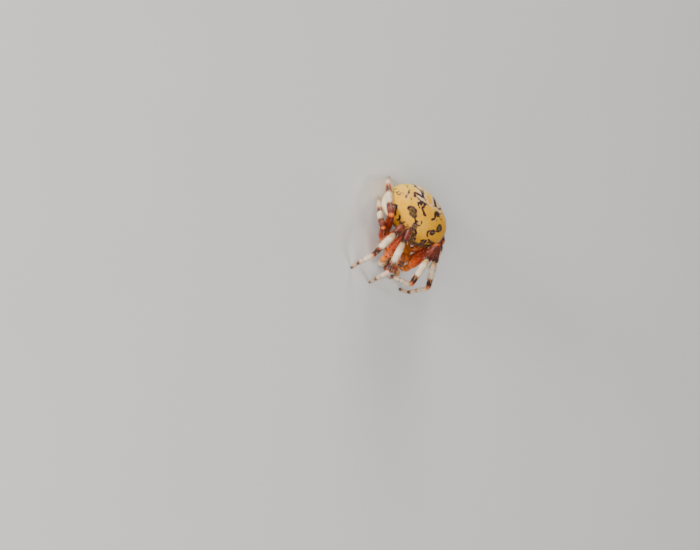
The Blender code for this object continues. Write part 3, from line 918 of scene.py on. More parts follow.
# %% Jaws and fangs
JAW_RED = (0.26, 0.035, 0.01)
FANG_BROWN = (0.05, 0.012, 0.006)
jaws = {}
fangs = {}
bend_t = np.linspace(0.0, 1.0, 14)
fang_girth = 0.13 * (1.0 - bend_t) ** 0.7 + 0.012
for side, sign in SIGN.items():
    jaws[side] = body_egg("jaw_" + side, JAW_RED, (sign * 0.56, -3.3, -0.82), (0.47, 0.6, 1.06),
                          rows=30, taper=0.12, bend=(0.0, -0.05), square=0.72)
    fang_path = np.stack([sign * (0.62 - 0.42 * bend_t), -3.35 + 0.32 * np.sin(2.6 * bend_t),
                          -1.66 - 0.26 * np.sin(np.pi * bend_t)], -1)
    fangs[side] = hook_sleeve("fang_" + side, on_body(fang_path), (0.0, 1.0, 0.2), fang_girth, 12,
                              0.02, FANG_BROWN)
print("jaws", len(jaws), "fangs", len(fangs))

# %% Breastplate, mouth and waist
MEMBRANE = (0.42, 0.16, 0.07)
PLATE_BROWN = (0.11, 0.045, 0.022)
LOBE_BROWN = (0.28, 0.12, 0.06)
WAIST_BROWN = (0.3, 0.13, 0.06)
MOUTH_LOBES = (                 # across and along, then the half-axes
    (-0.5, -2.14, (0.34, 0.42, 0.46)),
    (0.5, -2.14, (0.34, 0.42, 0.46)),
    (0.0, -1.86, (0.3, 0.26, 0.44)),
)
trunk = body_egg("trunk", MEMBRANE, (0.0, 0.35, -0.3), (1.72, 2.95, 0.95), rows=28, sides=44,
                 square=0.6)
plate = body_egg("breastplate", PLATE_BROWN, (0.0, 0.2, -0.98), (1.14, 1.68, 0.5), rows=26,
                 sides=44, square=0.55)
mouth_parts = [body_egg("lobe", LOBE_BROWN, (x, y, -1.0), half, rows=16, sides=18, square=0.8)
               for x, y, half in MOUTH_LOBES]
mouth = join("mouth_lobes", mouth_parts)
waist = body_egg("waist", WAIST_BROWN, (0.0, 3.42, -0.02), (0.42, 0.46, 0.34), rows=14, sides=22)
print("trunk faces", len(trunk.data.polygons), "mouth lobes", len(mouth_parts))

# %% [markdown]
# ## Eyes
# An orb weaver has eight small eyes in two rows: four in a trapezoid on the forehead, and a
# touching pair at each side. They are simple glassy beads with no lids, so they are true balls set
# partly into the shield. Half balls would do as well, but a whole one needs no fitting. Their
# finish is near black with a clear, hard gloss.

# %% Eyes, seated on the shield nearest to where the solids put them
EYE_RISE = 0.3                  # how far a ball's middle stands over its seat, in radii
EYE_BLACK = (0.01, 0.008, 0.008)
HEAD_MIDDLE = np.array([0.0, -1.2, 0.9])        # the eyes look straight away from this place
eyes = {}
for (name, side), place in eye_places.items():
    low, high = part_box("eye_" + name + "_" + side)
    radius = 0.5 * (high[2] - low[2]) / MM
    outward = place - HEAD_MIDDLE
    centre = eye_seats[name, side] + outward / np.linalg.norm(outward) * EYE_RISE * radius
    eyes[name, side] = body_egg("eyeball_" + name + "_" + side, EYE_BLACK, centre, (radius,) * 3,
                                rows=14, sides=20)
print("eyes", len(eyes))

# %% [markdown]
# ## Feelers beside the mouth
# The two palps look like short legs. Eggs in a row would do for them from afar, but they are
# carried, like the legs, as one sleeve along a bent path, narrowed a little at each joint, and a
# coat of hair makes a brush of the end. The right one is held higher, and it and its hairs are
# painted paler, with less orange mixed in than on the left one, which is painted light.

# %% Palps: (across, ahead, up, thickness) from base to tip
PALP_STOPS = np.array(((1.2, -2.4, -0.95, 0.24), (1.45, -2.85, -0.8, 0.27), (1.75, -3.4, -0.55, 0.31),
                       (1.95, -3.75, -0.6, 0.29), (2.05, -3.78, -0.95, 0.3), (2.0, -3.55, -1.3, 0.29),
                       (1.88, -3.2, -1.6, 0.3), (1.75, -2.85, -1.8, 0.27), (1.65, -2.65, -1.88, 0.17)))
PALP_COLOURS = np.array((
    (0.0, 0.6, 0.25, 0.06), (2.0, 0.62, 0.34, 0.12), (3.0, 0.4, 0.16, 0.06), (3.5, 0.7, 0.5, 0.3),
    (5.0, 0.62, 0.42, 0.24), (5.4, 0.25, 0.1, 0.05), (6.0, 0.6, 0.44, 0.28), (8.0, 0.16, 0.08, 0.05),
))
PALP_LIFT = {"r": (-0.43, 0.18, 0.33), "l": (0.0, 0.0, 0.0)}     # the right one is held higher
PALP_FOLLOW = np.array((0.0, 0.4, 0.9, 1.0, 1.0, 1.0, 0.9, 0.8, 0.75))
# Painted light: the right palp gets less orange, so it is painted paler than the left.
PALP_ORANGE_SHARE_PAINTED_LIGHT = {"r": 0.12, "l": 0.55}
PALP_ORANGE_TONE = (0.85, 0.34, 0.04)
PALP_JOINTS = (1.0, 3.0, 4.3, 6.0)
PALP_SIDES = 22
palps = {}
palp_frames = {}
for side, sign in SIGN.items():
    stops = on_body(PALP_STOPS[:, :3] * (sign, 1.0, 1.0)) + PALP_FOLLOW[:, None] * PALP_LIFT[side]
    path, count, where, places = rounded_path(stops, step=0.05, rounding=0.12)
    tangent, across_axis, up_axis = carried_frames(path, (0.0, 0.3, 1.0))
    radius = np.interp(count, np.arange(len(stops)), PALP_STOPS[:, 3])
    for joint in PALP_JOINTS:
        radius *= 1.0 - 0.16 * hump(count - joint, 0.25)
    rings = ring_points(path, across_axis, up_axis, radius, radius, PALP_SIDES)
    colour = from_table(count, PALP_COLOURS[:, 0], PALP_COLOURS[:, 1:])
    # Painted light: less orange on the right palp leaves it paler.
    colour = blend(colour, PALP_ORANGE_TONE, np.full(len(colour), PALP_ORANGE_SHARE_PAINTED_LIGHT[side]))
    colour = with_ends(np.repeat(colour, PALP_SIDES, axis=0))
    palps[side] = sleeve("palp_" + side + "_skin", path[0], rings, path[-1] + tangent[-1] * 0.08,
                         colours={"tint": colour})
    palp_frames[side] = (path, count, tangent, across_axis, up_axis, radius)
print("palps", len(palps), "faces", len(palps["r"].data.polygons))

# %% [markdown]
# ## Spinnerets
# The silk comes from three pairs of short, blunt cones under the tail. A cone primitive has a
# sharp rim, so each is an egg thinned towards its end and laid down to point backwards.

# %% Spinnerets: three pairs of short cones under the tail
SPINNERET_AT = np.array([0.0, 6.62, -1.05])
CONE_BROWN = (0.2, 0.1, 0.05)
LAID_DOWN = np.array([[1.0, 0.0, 0.0], [0.0, 0.0, -1.0], [0.0, 1.0, 0.0]])      # z to the tail


def under_tail(points, move):
    """An upright egg's points, laid down to point backwards and moved under the tail."""
    return on_abdomen(points @ LAID_DOWN + move)


cones = []
for out, up, size in ((0.17, 0.16, 0.2), (0.12, -0.02, 0.13), (0.2, -0.2, 0.21)):
    for sign in (-1.0, 1.0):
        start, rings, end = egg((0.0, 0.0, 0.0), (size, size, 0.42), rows=12, sides=14, taper=-0.35,
                                square=0.7)
        move = SPINNERET_AT + (sign * out, -0.02, up)
        cones.append(sleeve("cone", under_tail(start, move), under_tail(rings, move),
                            under_tail(end, move), colours=one_tint(rings, CONE_BROWN)))
spinnerets = join("spinneret_cones", cones)
print("spinneret cones", len(cones))

# %% [markdown]
# ## Hairs
# Fine hairs cover a spider, and they catch the light along every edge. Hair particles would not
# travel with the model, so each hair is a real blade: a three-sided spike with one bend, seven
# points and a few faces. All blades of a coat are worked out at once as arrays. Each one takes
# most of its colour from the skin at its root, and a tiny patch at its root's place on the skin's
# unwrap. The legs, palps, jaws, abdomen and shield each get a coat, and the front hips a fringe.

# %% Blades of hair from roots, normals and a direction to lie in
PATCH = 0.0015                  # half the size of a tuft's patch on the unwrap
BLADE_UV = np.array(((-1, -1), (0, -1.5), (1, -1), (-1, 0.1), (0, 0.5), (1, 0.1), (0, 1.5))) * PATCH
BLADE_QUADS = np.array(((0, 1, 4, 3), (1, 2, 5, 4), (2, 0, 3, 5)))
BLADE_TIPS = np.array(((3, 4, 6), (4, 5, 6), (5, 3, 6), (0, 2, 1)))
BLADE_PARTS = (0.55, 0.45)      # shares of the length before and after the bend
HAIR_FLOOR = 0.01               # mm; no hair dips under the floor


def unit_rows(vectors):
    """Each row scaled to length one."""
    return vectors / np.maximum(np.linalg.norm(vectors, axis=-1, keepdims=True), 1e-12)


def hair_coat(name, roots, normals, lies, lengths, tints, places, blades=3, width=0.0095,
              lift=(12.0, 45.0), spread=0.4):
    """Tufts of bent three-sided blades: root, a bend at 0.55 of the length, and a tip.

    Each blade leaves the skin along lie cos(lift) + normal sin(lift), with lift between the two
    angles given and lie swung sideways by spread radians or so, and past the bend it lies flatter.
    """
    roots, normals, lies, lengths, tints, places = (
        np.repeat(values, blades, axis=0) for values in (roots, normals, lies, lengths, tints, places))
    total = len(roots)
    lies = unit_rows(lies - normals * np.einsum("ij,ij->i", lies, normals)[:, None])
    beside = np.cross(normals, lies)
    swing = random.normal(0.0, spread, total)[:, None]
    lies = lies * np.cos(swing) + beside * np.sin(swing)
    raise_by = np.radians(random.uniform(*lift, total))[:, None]
    first = lies * np.cos(raise_by) + normals * np.sin(raise_by)
    then = unit_rows(first + 0.35 * lies - 0.12 * normals)
    lengths = (lengths * random.uniform(0.7, 1.15, total))[:, None]
    base = roots - normals * 0.02 + beside * random.normal(0.0, 0.02, (total, 1))
    knee = base + first * lengths * BLADE_PARTS[0]
    tip = knee + then * lengths * BLADE_PARTS[1]
    a = unit_rows(np.cross(first, normals + 0.01))
    b = np.cross(first, a)
    corner = np.radians(np.array((90.0, 210.0, 330.0)))
    ring = a[:, None] * np.cos(corner)[:, None] + b[:, None] * np.sin(corner)[:, None]
    thick = width * random.uniform(0.8, 1.2, (total, 1, 1))
    points = np.concatenate([base[:, None] + ring * thick, knee[:, None] + ring * thick * 0.7,
                             tip[:, None]], axis=1)
    points[..., 2] = np.maximum(points[..., 2], HAIR_FLOOR)
    shift = len(BLADE_UV) * np.arange(total)[:, None, None]
    quads = (BLADE_QUADS + shift).reshape(-1, 4)
    tips = (BLADE_TIPS + shift).reshape(-1, 3)
    spots = places[:, None] + BLADE_UV
    unwrap = np.concatenate([spots[:, BLADE_QUADS].reshape(-1, 2), spots[:, BLADE_TIPS].reshape(-1, 2)])
    colour = np.repeat(tints, len(BLADE_UV), axis=0)
    return make_mesh(name, points.reshape(-1, 3), [quads, tips], unwrap, colours={"tint": colour})


def sleeve_roots(frames, count_range, number):
    """Random roots on a limb: place, normal, direction towards the tip, joint count, unwrap."""
    path, count, tangent, across_axis, up_axis, radius = frames
    at = random.uniform(*count_range, number)
    rows = np.arange(len(count))
    row = np.interp(at, count, rows)
    angle = np.radians(random.uniform(0.0, 360.0, number))
    level, raised = from_table(row, rows, across_axis), from_table(row, rows, up_axis)
    normal = unit_rows(level * np.cos(angle)[:, None] + raised * np.sin(angle)[:, None])
    girth = np.interp(row, rows, radius)
    root = from_table(row, rows, path) + normal * girth[:, None]
    spot = np.stack([(angle / (2 * np.pi)) % 1.0, (row + 1) / (len(count) + 1)], -1)
    return root, normal, unit_rows(from_table(row, rows, tangent)), at, spot


print("corners of a blade", len(BLADE_UV), "faces", len(BLADE_QUADS) + len(BLADE_TIPS))

# %% Coats of the legs
HAIR_PALE = np.array([0.82, 0.66, 0.48])
LEG_HAIR_COUNT = {1: 1500, 2: 1450, 3: 1000, 4: 1400}
LEG_HAIR_LENGTH = (0.2, 0.24, 0.26, 0.28, 0.26, 0.22, 0.14)     # mm, at each joint
LONG_HAIRS = 0.12               # share of the hairs that are nearly twice as long
coats = []
for key, frames in leg_frames.items():
    root, normal, lie, at, spot = sleeve_roots(frames, (0.3, 5.95), LEG_HAIR_COUNT[key[1]])
    length = np.interp(at, np.arange(7.0), LEG_HAIR_LENGTH)
    length *= np.where(random.random(len(at)) < LONG_HAIRS, 1.9, 1.0)
    tint = blend(leg_colour(at, key, normal), HAIR_PALE, np.full(len(at), 0.18))
    coat = hair_coat(leg_name(key) + "coat", root, normal, lie, length, tint, spot)
    coats.append((coat, "leg_cream"))
print("leg coats", len(coats), "faces in the last", len(coat.data.polygons))

# %% Long pale fringe round the hips of the front legs
FRINGE_HAIRS = 190
for key in (("r", 1), ("r", 2), ("l", 1), ("l", 2)):
    root, normal, lie, at, spot = sleeve_roots(leg_frames[key], (0.5, 1.32), FRINGE_HAIRS)
    length = 0.3 + 0.22 * random.random(len(at))
    tint = np.tile(HAIR_PALE * 1.1, (len(at), 1))
    coat = hair_coat(leg_name(key) + "fringe", root, normal, lie, length, tint, spot, blades=2,
                     width=0.014, lift=(20.0, 60.0))
    coats.append((coat, "leg_cream"))
print("leg coats and fringes", len(coats))

# %% [markdown]
# ## Spines
# Along the thighs, knees, shins and feet stand longer, stiffer spines in rows. They could be small
# cones, but here they are single blades of the same kind as the hairs, thicker, and set at fixed
# places so that the rows read clearly.

# %% Rows of spines down the legs: joint counts, angles round the leg, length in mm
SPINE_PALE = (0.88, 0.7, 0.48)
SPINE_ROWS = (
    ((1.2, 1.36, 1.52, 1.68, 1.84), (20, 70, 110, 160, 220, 320), 0.46),
    ((2.45, 2.9), (60, 90, 120), 0.5),
    ((3.2, 3.42, 3.64, 3.85), (35, 90, 145, 215, 325), 0.72),
    ((4.15, 4.4, 4.68), (40, 140, 220, 320), 0.5),
    ((4.93,), (200, 250, 290, 340), 0.3),
)
for key, frames in leg_frames.items():
    path, count, tangent, across_axis, up_axis, radius = frames
    roots, normals, lies, lengths, spots = [], [], [], [], []
    for places, angles, size in SPINE_ROWS:
        for place in places:
            row = int(np.searchsorted(count, place))
            for angle in angles:
                turn = math.radians(angle)
                normal = across_axis[row] * math.cos(turn) + up_axis[row] * math.sin(turn)
                roots.append(path[row] + normal * radius[row])
                normals.append(normal)
                lies.append(tangent[row])
                lengths.append(size * LEG_GIRTH[key[1]])
                spots.append((angle / 360.0, (row + 1) / (len(count) + 1)))
    roots, normals, lies, lengths, spots = map(np.array, (roots, normals, lies, lengths, spots))
    tints = np.tile(SPINE_PALE, (len(roots), 1))
    coat = hair_coat(leg_name(key) + "spines", roots, normals, lies, lengths, tints, spots, blades=1,
                     width=0.04, lift=(32.0, 56.0), spread=0.2)
    coats.append((coat, "leg_cream"))
print("spines per leg", len(roots))

# %% [markdown]
# ## Coats of jaws, palps, abdomen and shield
# The jaws have short, dark red hair, the palps a pale brush, and the abdomen and the shield a thin
# down that shows mostly along their edges. Where a piece has a formula, its hairs ask the formula
# for their places. The jaws' hairs are rooted on the finished mesh instead, at random faces, with
# large faces chosen more often, which needs no formula.

# %% Short hair on the jaws, rooted on the finished mesh
JAW_HAIRS = 420
JAW_HAIR_RED = (0.5, 0.14, 0.04)


def piece_roots(piece, number):
    """Random roots on a mesh, more on its larger faces: place, normal and unwrap."""
    mesh = piece.data
    total = len(mesh.polygons)
    centres, normals, areas = np.empty(3 * total), np.empty(3 * total), np.empty(total)
    first_loop = np.empty(total, dtype=np.int32)
    spots = np.empty(2 * len(mesh.loops))
    mesh.polygons.foreach_get("center", centres)
    mesh.polygons.foreach_get("normal", normals)
    mesh.polygons.foreach_get("area", areas)
    mesh.polygons.foreach_get("loop_start", first_loop)
    mesh.uv_layers["OFBake"].data.foreach_get("uv", spots)
    chosen = random.choice(total, number, p=areas / areas.sum())
    return (centres.reshape(-1, 3)[chosen] / MM, normals.reshape(-1, 3)[chosen],
            spots.reshape(-1, 2)[first_loop[chosen]])


for side, jaw in jaws.items():
    root, normal, spot = piece_roots(jaw, JAW_HAIRS)
    lie = np.tile(on_body(np.array([0.0, -0.5, -1.0])) - on_body(np.zeros(3)), (len(root), 1))
    length = 0.16 + 0.12 * random.random(len(root))
    tint = blend(np.tile(JAW_HAIR_RED, (len(root), 1)), HAIR_PALE, random.random(len(root)) ** 2)
    coat = hair_coat("jaw_" + side + "_coat", root, normal, lie, length, tint, spot)
    coats.append((coat, "jaw_brown"))
print("jaw hair faces", len(coat.data.polygons))

# %% Coats of the palps
PALP_HAIRS = 620
PALP_HAIR_ORANGE = (0.62, 0.24, 0.05)
for side, frames in palp_frames.items():
    root, normal, lie, at, spot = sleeve_roots(frames, (0.5, 8.0), PALP_HAIRS)
    length = np.interp(at, (0.0, 3.0, 5.5, 8.0), (0.16, 0.2, 0.3, 0.34))
    # Painted light: the right palp's hairs are made paler.
    pale = 0.45 + 0.5 * random.random(len(at)) + 0.3 * (side == "r")
    tint = blend(np.tile(PALP_HAIR_ORANGE, (len(at), 1)), HAIR_PALE * 1.12, pale)
    coat = hair_coat("palp_" + side + "_coat", root, normal, lie, length, tint, spot)
    coats.append((coat, "palp_cream"))
print("palp hair faces", len(coat.data.polygons))

# %% Coat of the abdomen
def surface_frames(surface, first, second, step):
    """Points of a two-angle surface with normals from the cross product of its two slopes."""
    here = surface(first, second)
    along_first = surface(first + step, second) - here
    along_second = surface(first, second + step) - here
    return here, unit_rows(np.cross(along_first, along_second))


def scattered(number):
    """Random angles that cover a sphere evenly: across from asin, around evenly."""
    across_degrees = np.degrees(np.arcsin(random.uniform(-0.995, 0.995, number)))
    return across_degrees, random.uniform(0.0, 360.0, number)


def abdomen_at(across_degrees, around_degrees):
    """Points of the abdomen's skin from two angles."""
    return abdomen_place(flank_chart(across_degrees, around_degrees))


ABDOMEN_HAIRS = 4200
INK_HAIR = np.array([0.06, 0.03, 0.03])
across_angle, around_angle = scattered(ABDOMEN_HAIRS)
units = flank_chart(across_angle, around_angle)
root, normal = surface_frames(abdomen_at, across_angle, around_angle, 0.3)
normal *= np.sign(np.einsum("ij,ij->i", normal, root - ABDOMEN_AT))[:, None]
marks, ground = abdomen_numbers(units)
tint = blend(ground["ground"], HAIR_PALE, np.full(ABDOMEN_HAIRS, 0.25))
tint = blend(tint, INK_HAIR, 0.8 * (marks["ink"] < 0.0))
tail_ward = np.tile(ABDOMEN_TURN[:, 1], (ABDOMEN_HAIRS, 1))
wrapped = (around_angle - PATTERNED[0]) % 360.0
ring_place = np.interp(wrapped, np.concatenate([around - PATTERNED[0], [360.0]]),
                       np.linspace(0.0, 1.0, len(around) + 1))
row_place = (across_angle - across[0]) / ACROSS_STEP + 1
spot = np.stack([ring_place, row_place / (len(across) + 1)], -1)
coat = hair_coat("abdomen_coat", root, normal, tail_ward, np.full(ABDOMEN_HAIRS, 0.3), tint, spot,
                 blades=2, width=0.008, lift=(15.0, 50.0))
coats.append((coat, "abdomen_yellow"))
print("abdomen hair faces", len(coat.data.polygons))

# %% Coat of the shield
SHIELD_HAIRS = 1300
y_angle = np.degrees(np.arccos(random.uniform(-0.97, 0.97, SHIELD_HAIRS)))
turn_angle = random.uniform(4.0, 176.0, SHIELD_HAIRS)


def shield_at(y_degrees, turn_degrees):
    """Points of the shield's roof from two angles, front to back and rim to rim."""
    along = -0.5 * SHIELD_LENGTH * np.cos(np.radians(y_degrees))
    across, roof = shield_roof(along, np.radians(turn_degrees))
    return np.stack([across, along, roof], -1)


local, local_normal = surface_frames(shield_at, y_angle, turn_angle, 0.4)
local_normal *= np.sign(local_normal[:, 2:3])
tint = blend(shield_colour(local), HAIR_PALE, np.full(SHIELD_HAIRS, 0.2))
ahead = np.tile((0.0, -1.0, 0.0), (SHIELD_HAIRS, 1)) - local * (0.12, 0.0, 0.0)
spot = np.stack([turn_angle / 360.0, y_angle / 180.0], -1)
coat = hair_coat("shield_coat", on_body(local), local_normal @ BODY_TURN.T, ahead @ BODY_TURN.T,
                 np.full(SHIELD_HAIRS, 0.22), tint, spot, width=0.009)
coats.append((coat, "shield_orange"))
print("coats", len(coats), "faces", sum(len(coat.data.polygons) for coat, _ in coats))

# %% [markdown]
# ## Claws
# A spider walks its web on small dark hooks. Each foot gets two, side by side, made as the fangs
# are: a thin sleeve along a curve that bends down to the floor and narrows to its point.

# %% Claws: two hooks at each toe
CLAW_BLACK = (0.03, 0.015, 0.01)
CLAW_HEIGHT = (0.0, 0.0, 0.14)
claw_t = np.linspace(0.0, 1.0, 8)[:, None]
claw_girth = 0.035 * (1.0 - claw_t[:, 0]) ** 0.6 + 0.006
claw_parts = []
for key in legs:
    joints = leg_joints(*key)
    along = unit_rows(joints[6] - joints[5])
    level = unit_rows(along * (1.0, 1.0, 0.0))
    beside = np.cross(level, (0.0, 0.0, 1.0))
    for sign in (-1.0, 1.0):
        hook = (joints[6] + CLAW_HEIGHT - level * 0.05 + beside * sign * (0.04 + 0.05 * claw_t)
                + level * (0.2 * np.sin(1.9 * claw_t)) - np.array([0.0, 0.0, 0.1]) * claw_t ** 2)
        claw_parts.append(hook_sleeve("claw", hook, (0.0, 0.0, 1.0), claw_girth, 8, 0.01, CLAW_BLACK))
claws = join("claws", claw_parts)
print("claws", len(claw_parts))

# %% [markdown]
# ## Finishes
# A spider's shell is thin, slightly glossy and never one flat colour. Painted pictures could show
# that, but they blur close up. Here all finishes are small node trees on the Principled shader:
# the skin's stored colour is broken up by fine noise, and tiny bumps stand for the sockets of
# hairs too short to model. The eyes and claws have two smooth, dark, glossy finishes of their own.

# %% Helpers for node trees
def new_finish(name, roughness, specular=0.5, coat=0.0, coat_roughness=0.1):
    """A material with its constant numbers set on the shader; returns tree and shader too."""
    material = bpy.data.materials.new(name)
    material.use_nodes = True
    tree = material.node_tree
    shader = tree.nodes["Principled BSDF"]
    shader.inputs["Roughness"].default_value = roughness
    shader.inputs["Specular IOR Level"].default_value = specular
    shader.inputs["Coat Weight"].default_value = coat
    shader.inputs["Coat Roughness"].default_value = coat_roughness
    return material, tree, shader


def node(tree, kind, **values):
    """A node with its properties and unlinked inputs set."""
    made = tree.nodes.new(kind)
    for key, value in values.items():
        if hasattr(made, key):
            setattr(made, key, value)
        else:
            made.inputs[key.replace("_", " ")].default_value = value
    return made


def stored(tree, name):
    """Reads a number or colour stored on the mesh."""
    return node(tree, "ShaderNodeAttribute", attribute_name=name)


def noise_at(tree, scale, detail=2.0, roughness=0.5):
    """Noise on the piece's own place in the room, scale given in waves per metre."""
    where = node(tree, "ShaderNodeTexCoord")
    grain = node(tree, "ShaderNodeTexNoise", Scale=scale, Detail=detail, Roughness=roughness)
    tree.links.new(where.outputs["Object"], grain.inputs["Vector"])
    return grain


def ranged(tree, value, low, high, out_low=0.0, out_high=1.0):
    """Map Range, clamped: value from low..high to out_low..out_high."""
    made = node(tree, "ShaderNodeMapRange", From_Min=low, From_Max=high, To_Min=out_low,
                To_Max=out_high)
    tree.links.new(value, made.inputs["Value"])
    return made.outputs["Result"]


def feed(tree, socket, value):
    """Give a socket its value: a number, a plain colour or another node's output."""
    if isinstance(value, (int, float)):
        socket.default_value = value
    elif isinstance(value, tuple):
        socket.default_value = (*value, 1.0)
    else:
        tree.links.new(value, socket)


def mixed(tree, share, first, second, blend_type="MIX"):
    """Two colours mixed by share; inputs 0, 6 and 7 are the node's share and its colours."""
    made = node(tree, "ShaderNodeMix", data_type="RGBA", blend_type=blend_type)
    for number, value in ((0, share), (6, first), (7, second)):
        feed(tree, made.inputs[number], value)
    return made.outputs[2]


def added(tree, first, second):
    """The sum of two nodes' outputs."""
    made = node(tree, "ShaderNodeMath", operation="ADD")
    tree.links.new(first, made.inputs[0])
    tree.links.new(second, made.inputs[1])
    return made.outputs["Value"]


def bumped(tree, shader, height, strength, distance):
    """Bump from a height socket into the shader's normal; distance is in metres."""
    bump = node(tree, "ShaderNodeBump", Strength=strength, Distance=distance)
    tree.links.new(height, bump.inputs["Height"])
    tree.links.new(bump.outputs["Normal"], shader.inputs["Normal"])


print("node helpers ready")

# %% Shell finish: stored tint, mottled, with fine pimples
MOTTLE_BROWN = (0.25, 0.12, 0.07)
PATCH_SCALE, PIMPLE_SCALE = 900.0, 9000.0       # waves per metre


def shell_finish(name, roughness, mottle, pimple, coat=0.0):
    """Tint darkened in broad patches; a fine grain gives the bump and breaks the gloss."""
    material, tree, shader = new_finish(name, roughness, 0.25, coat=coat)
    tint = stored(tree, "tint").outputs["Color"]
    broad = ranged(tree, noise_at(tree, PATCH_SCALE).outputs["Fac"], 0.35, 0.65)
    dark = mixed(tree, mottle, tint, MOTTLE_BROWN, "MULTIPLY")
    colour = mixed(tree, broad, tint, dark)
    grain = noise_at(tree, PIMPLE_SCALE, 3.0, 0.6).outputs["Fac"]
    tree.links.new(colour, shader.inputs["Base Color"])
    rough = ranged(tree, grain, 0.3, 0.7, roughness - 0.08, roughness + 0.14)
    tree.links.new(rough, shader.inputs["Roughness"])
    bumped(tree, shader, grain, pimple, 0.00004)
    return material


def two_tone(name, scale, first, second, roughness, specular, **gloss):
    """A smooth finish whose colour wanders between two tones with a soft noise."""
    material, tree, shader = new_finish(name, roughness, specular, **gloss)
    colour = mixed(tree, noise_at(tree, scale).outputs["Fac"], first, second)
    tree.links.new(colour, shader.inputs["Base Color"])
    return material


leg_shell = shell_finish("leg_shell", 0.4, 0.35, 0.4, coat=0.06)
shield_shell = shell_finish("shield_shell", 0.42, 0.4, 0.5, coat=0.05)
soft_shell = shell_finish("soft_shell", 0.55, 0.4, 0.7)

hair_finish, hair_tree, hair_shader = new_finish("hair", 0.45, 0.4)
hair_tree.links.new(stored(hair_tree, "tint").outputs["Color"], hair_shader.inputs["Base Color"])

eye_finish = two_tone("eye_glass", 2500.0, (0.004, 0.003, 0.003), (0.03, 0.014, 0.01), 0.08, 0.6,
                      coat=1.0, coat_roughness=0.03)
horn_finish = two_tone("horn", 6000.0, (0.02, 0.008, 0.005), (0.07, 0.025, 0.014), 0.25, 0.5,
                       coat=0.4)
print("finishes so far", [made.name for made in (leg_shell, shield_shell, soft_shell, hair_finish,
                                                 eye_finish, horn_finish)])

# %% [markdown]
# ## The abdomen's finish
# Under the thin skin lies a layer of pale crystals that shows as a fine net of cells. Over it come
# the olive patches, speckled, and then the dark marks with a soft purple edge. A mark could be a
# mask painted on a picture, but here it is wherever the stored distance, in degrees, is small
# enough. The noise that is added to each distance makes the edges ragged, as on the real animal.

# %% Marbled finish
CELL_AMBER = (0.72, 0.4, 0.1)
CLOUD_YELLOW = (0.92, 0.62, 0.08)
OLIVE_DARK = (0.03, 0.018, 0.012)
OLIVE_PALE = (0.165, 0.1, 0.03)
RIM_PURPLE = (0.3, 0.15, 0.16)
INK_DARK = (0.014, 0.006, 0.01)
INK_PALE = (0.05, 0.022, 0.026)
CELL_SCALE, CLOUD_SCALE, RAGGED_SCALE, LOBE_SCALE = 4200.0, 420.0, 2400.0, 1100.0
SPECK_SCALE, SOCKET_SCALE = 7000.0, 8000.0      # all in waves per metre


def abdomen_finish():
    """Ground with cells and clouds; olive where its distance is under 1.4, ink where under 0."""
    material, tree, shader = new_finish("abdomen_marbled", 0.48, 0.12)
    ground = stored(tree, "ground").outputs["Color"]
    where = node(tree, "ShaderNodeTexCoord")
    cells = node(tree, "ShaderNodeTexVoronoi", feature="DISTANCE_TO_EDGE", Scale=CELL_SCALE)
    tree.links.new(where.outputs["Object"], cells.inputs["Vector"])
    net = ranged(tree, cells.outputs["Distance"], 0.0, 0.12)
    deep = mixed(tree, 0.55, ground, CELL_AMBER, "MULTIPLY")
    colour = mixed(tree, ranged(tree, net, 0.0, 1.0, 0.65, 1.0), deep, ground)
    cloud = noise_at(tree, CLOUD_SCALE, 3.0, 0.6).outputs["Fac"]
    colour = mixed(tree, ranged(tree, cloud, 0.5, 0.75, 0.0, 0.42), colour, CLOUD_YELLOW)
    ragged = noise_at(tree, RAGGED_SCALE, 5.0, 0.75).outputs["Fac"]
    lobed = noise_at(tree, LOBE_SCALE, 1.0, 0.5).outputs["Fac"]
    shift = added(tree, ranged(tree, ragged, 0.25, 0.75, -1.7, 1.9),
                  ranged(tree, lobed, 0.3, 0.7, -0.9, 1.2))
    ink = added(tree, stored(tree, "ink").outputs["Fac"], shift)
    olive = added(tree, stored(tree, "olive").outputs["Fac"], shift)
    speck = ranged(tree, noise_at(tree, SPECK_SCALE, 2.0, 0.5).outputs["Fac"], 0.42, 0.6)
    patch = mixed(tree, speck, OLIVE_DARK, OLIVE_PALE)
    colour = mixed(tree, ranged(tree, olive, 1.9, 0.9), colour, patch)
    rim = ranged(tree, ink, 1.4, 0.2, 0.0, 0.35)
    colour = mixed(tree, rim, colour, RIM_PURPLE)
    dark = mixed(tree, speck, INK_DARK, INK_PALE)
    colour = mixed(tree, ranged(tree, ink, 0.3, -0.3), colour, dark)
    tree.links.new(colour, shader.inputs["Base Color"])
    sockets = noise_at(tree, SOCKET_SCALE, 2.0, 0.5).outputs["Fac"]
    tree.links.new(ranged(tree, sockets, 0.3, 0.7, 0.3, 0.5), shader.inputs["Roughness"])
    bumped(tree, shader, sockets, 0.35, 0.00003)
    return material


marbled = abdomen_finish()
print("nodes in the abdomen's finish", len(marbled.node_tree.nodes))

# %% [markdown]
# ## Settling the pieces
# Each piece gets its finish and is told which body it rides on; a still model has only one, the
# root. Each call also names a slot, the colour group of the piece, though nothing here stores it,
# and the solids that a skin stands for are named, so that they aren't shown as well. One small
# function does all of this, because a forgotten line for one of 56 pieces would be hard to find.

# %% Give every piece its finish and body, and hide the solids it stands for
LEG_PARTS = ("coxa", "femur", "patella", "tibia", "foot")
settled = []


def settle(piece, material, slot, *nodes):
    """Finish and body for one piece, and the solids that it replaces; slot is not used."""
    piece.data.materials.clear()
    piece.data.materials.append(material)
    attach(piece, "root")
    if nodes:
        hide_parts(*nodes)
    settled.append(piece.name)


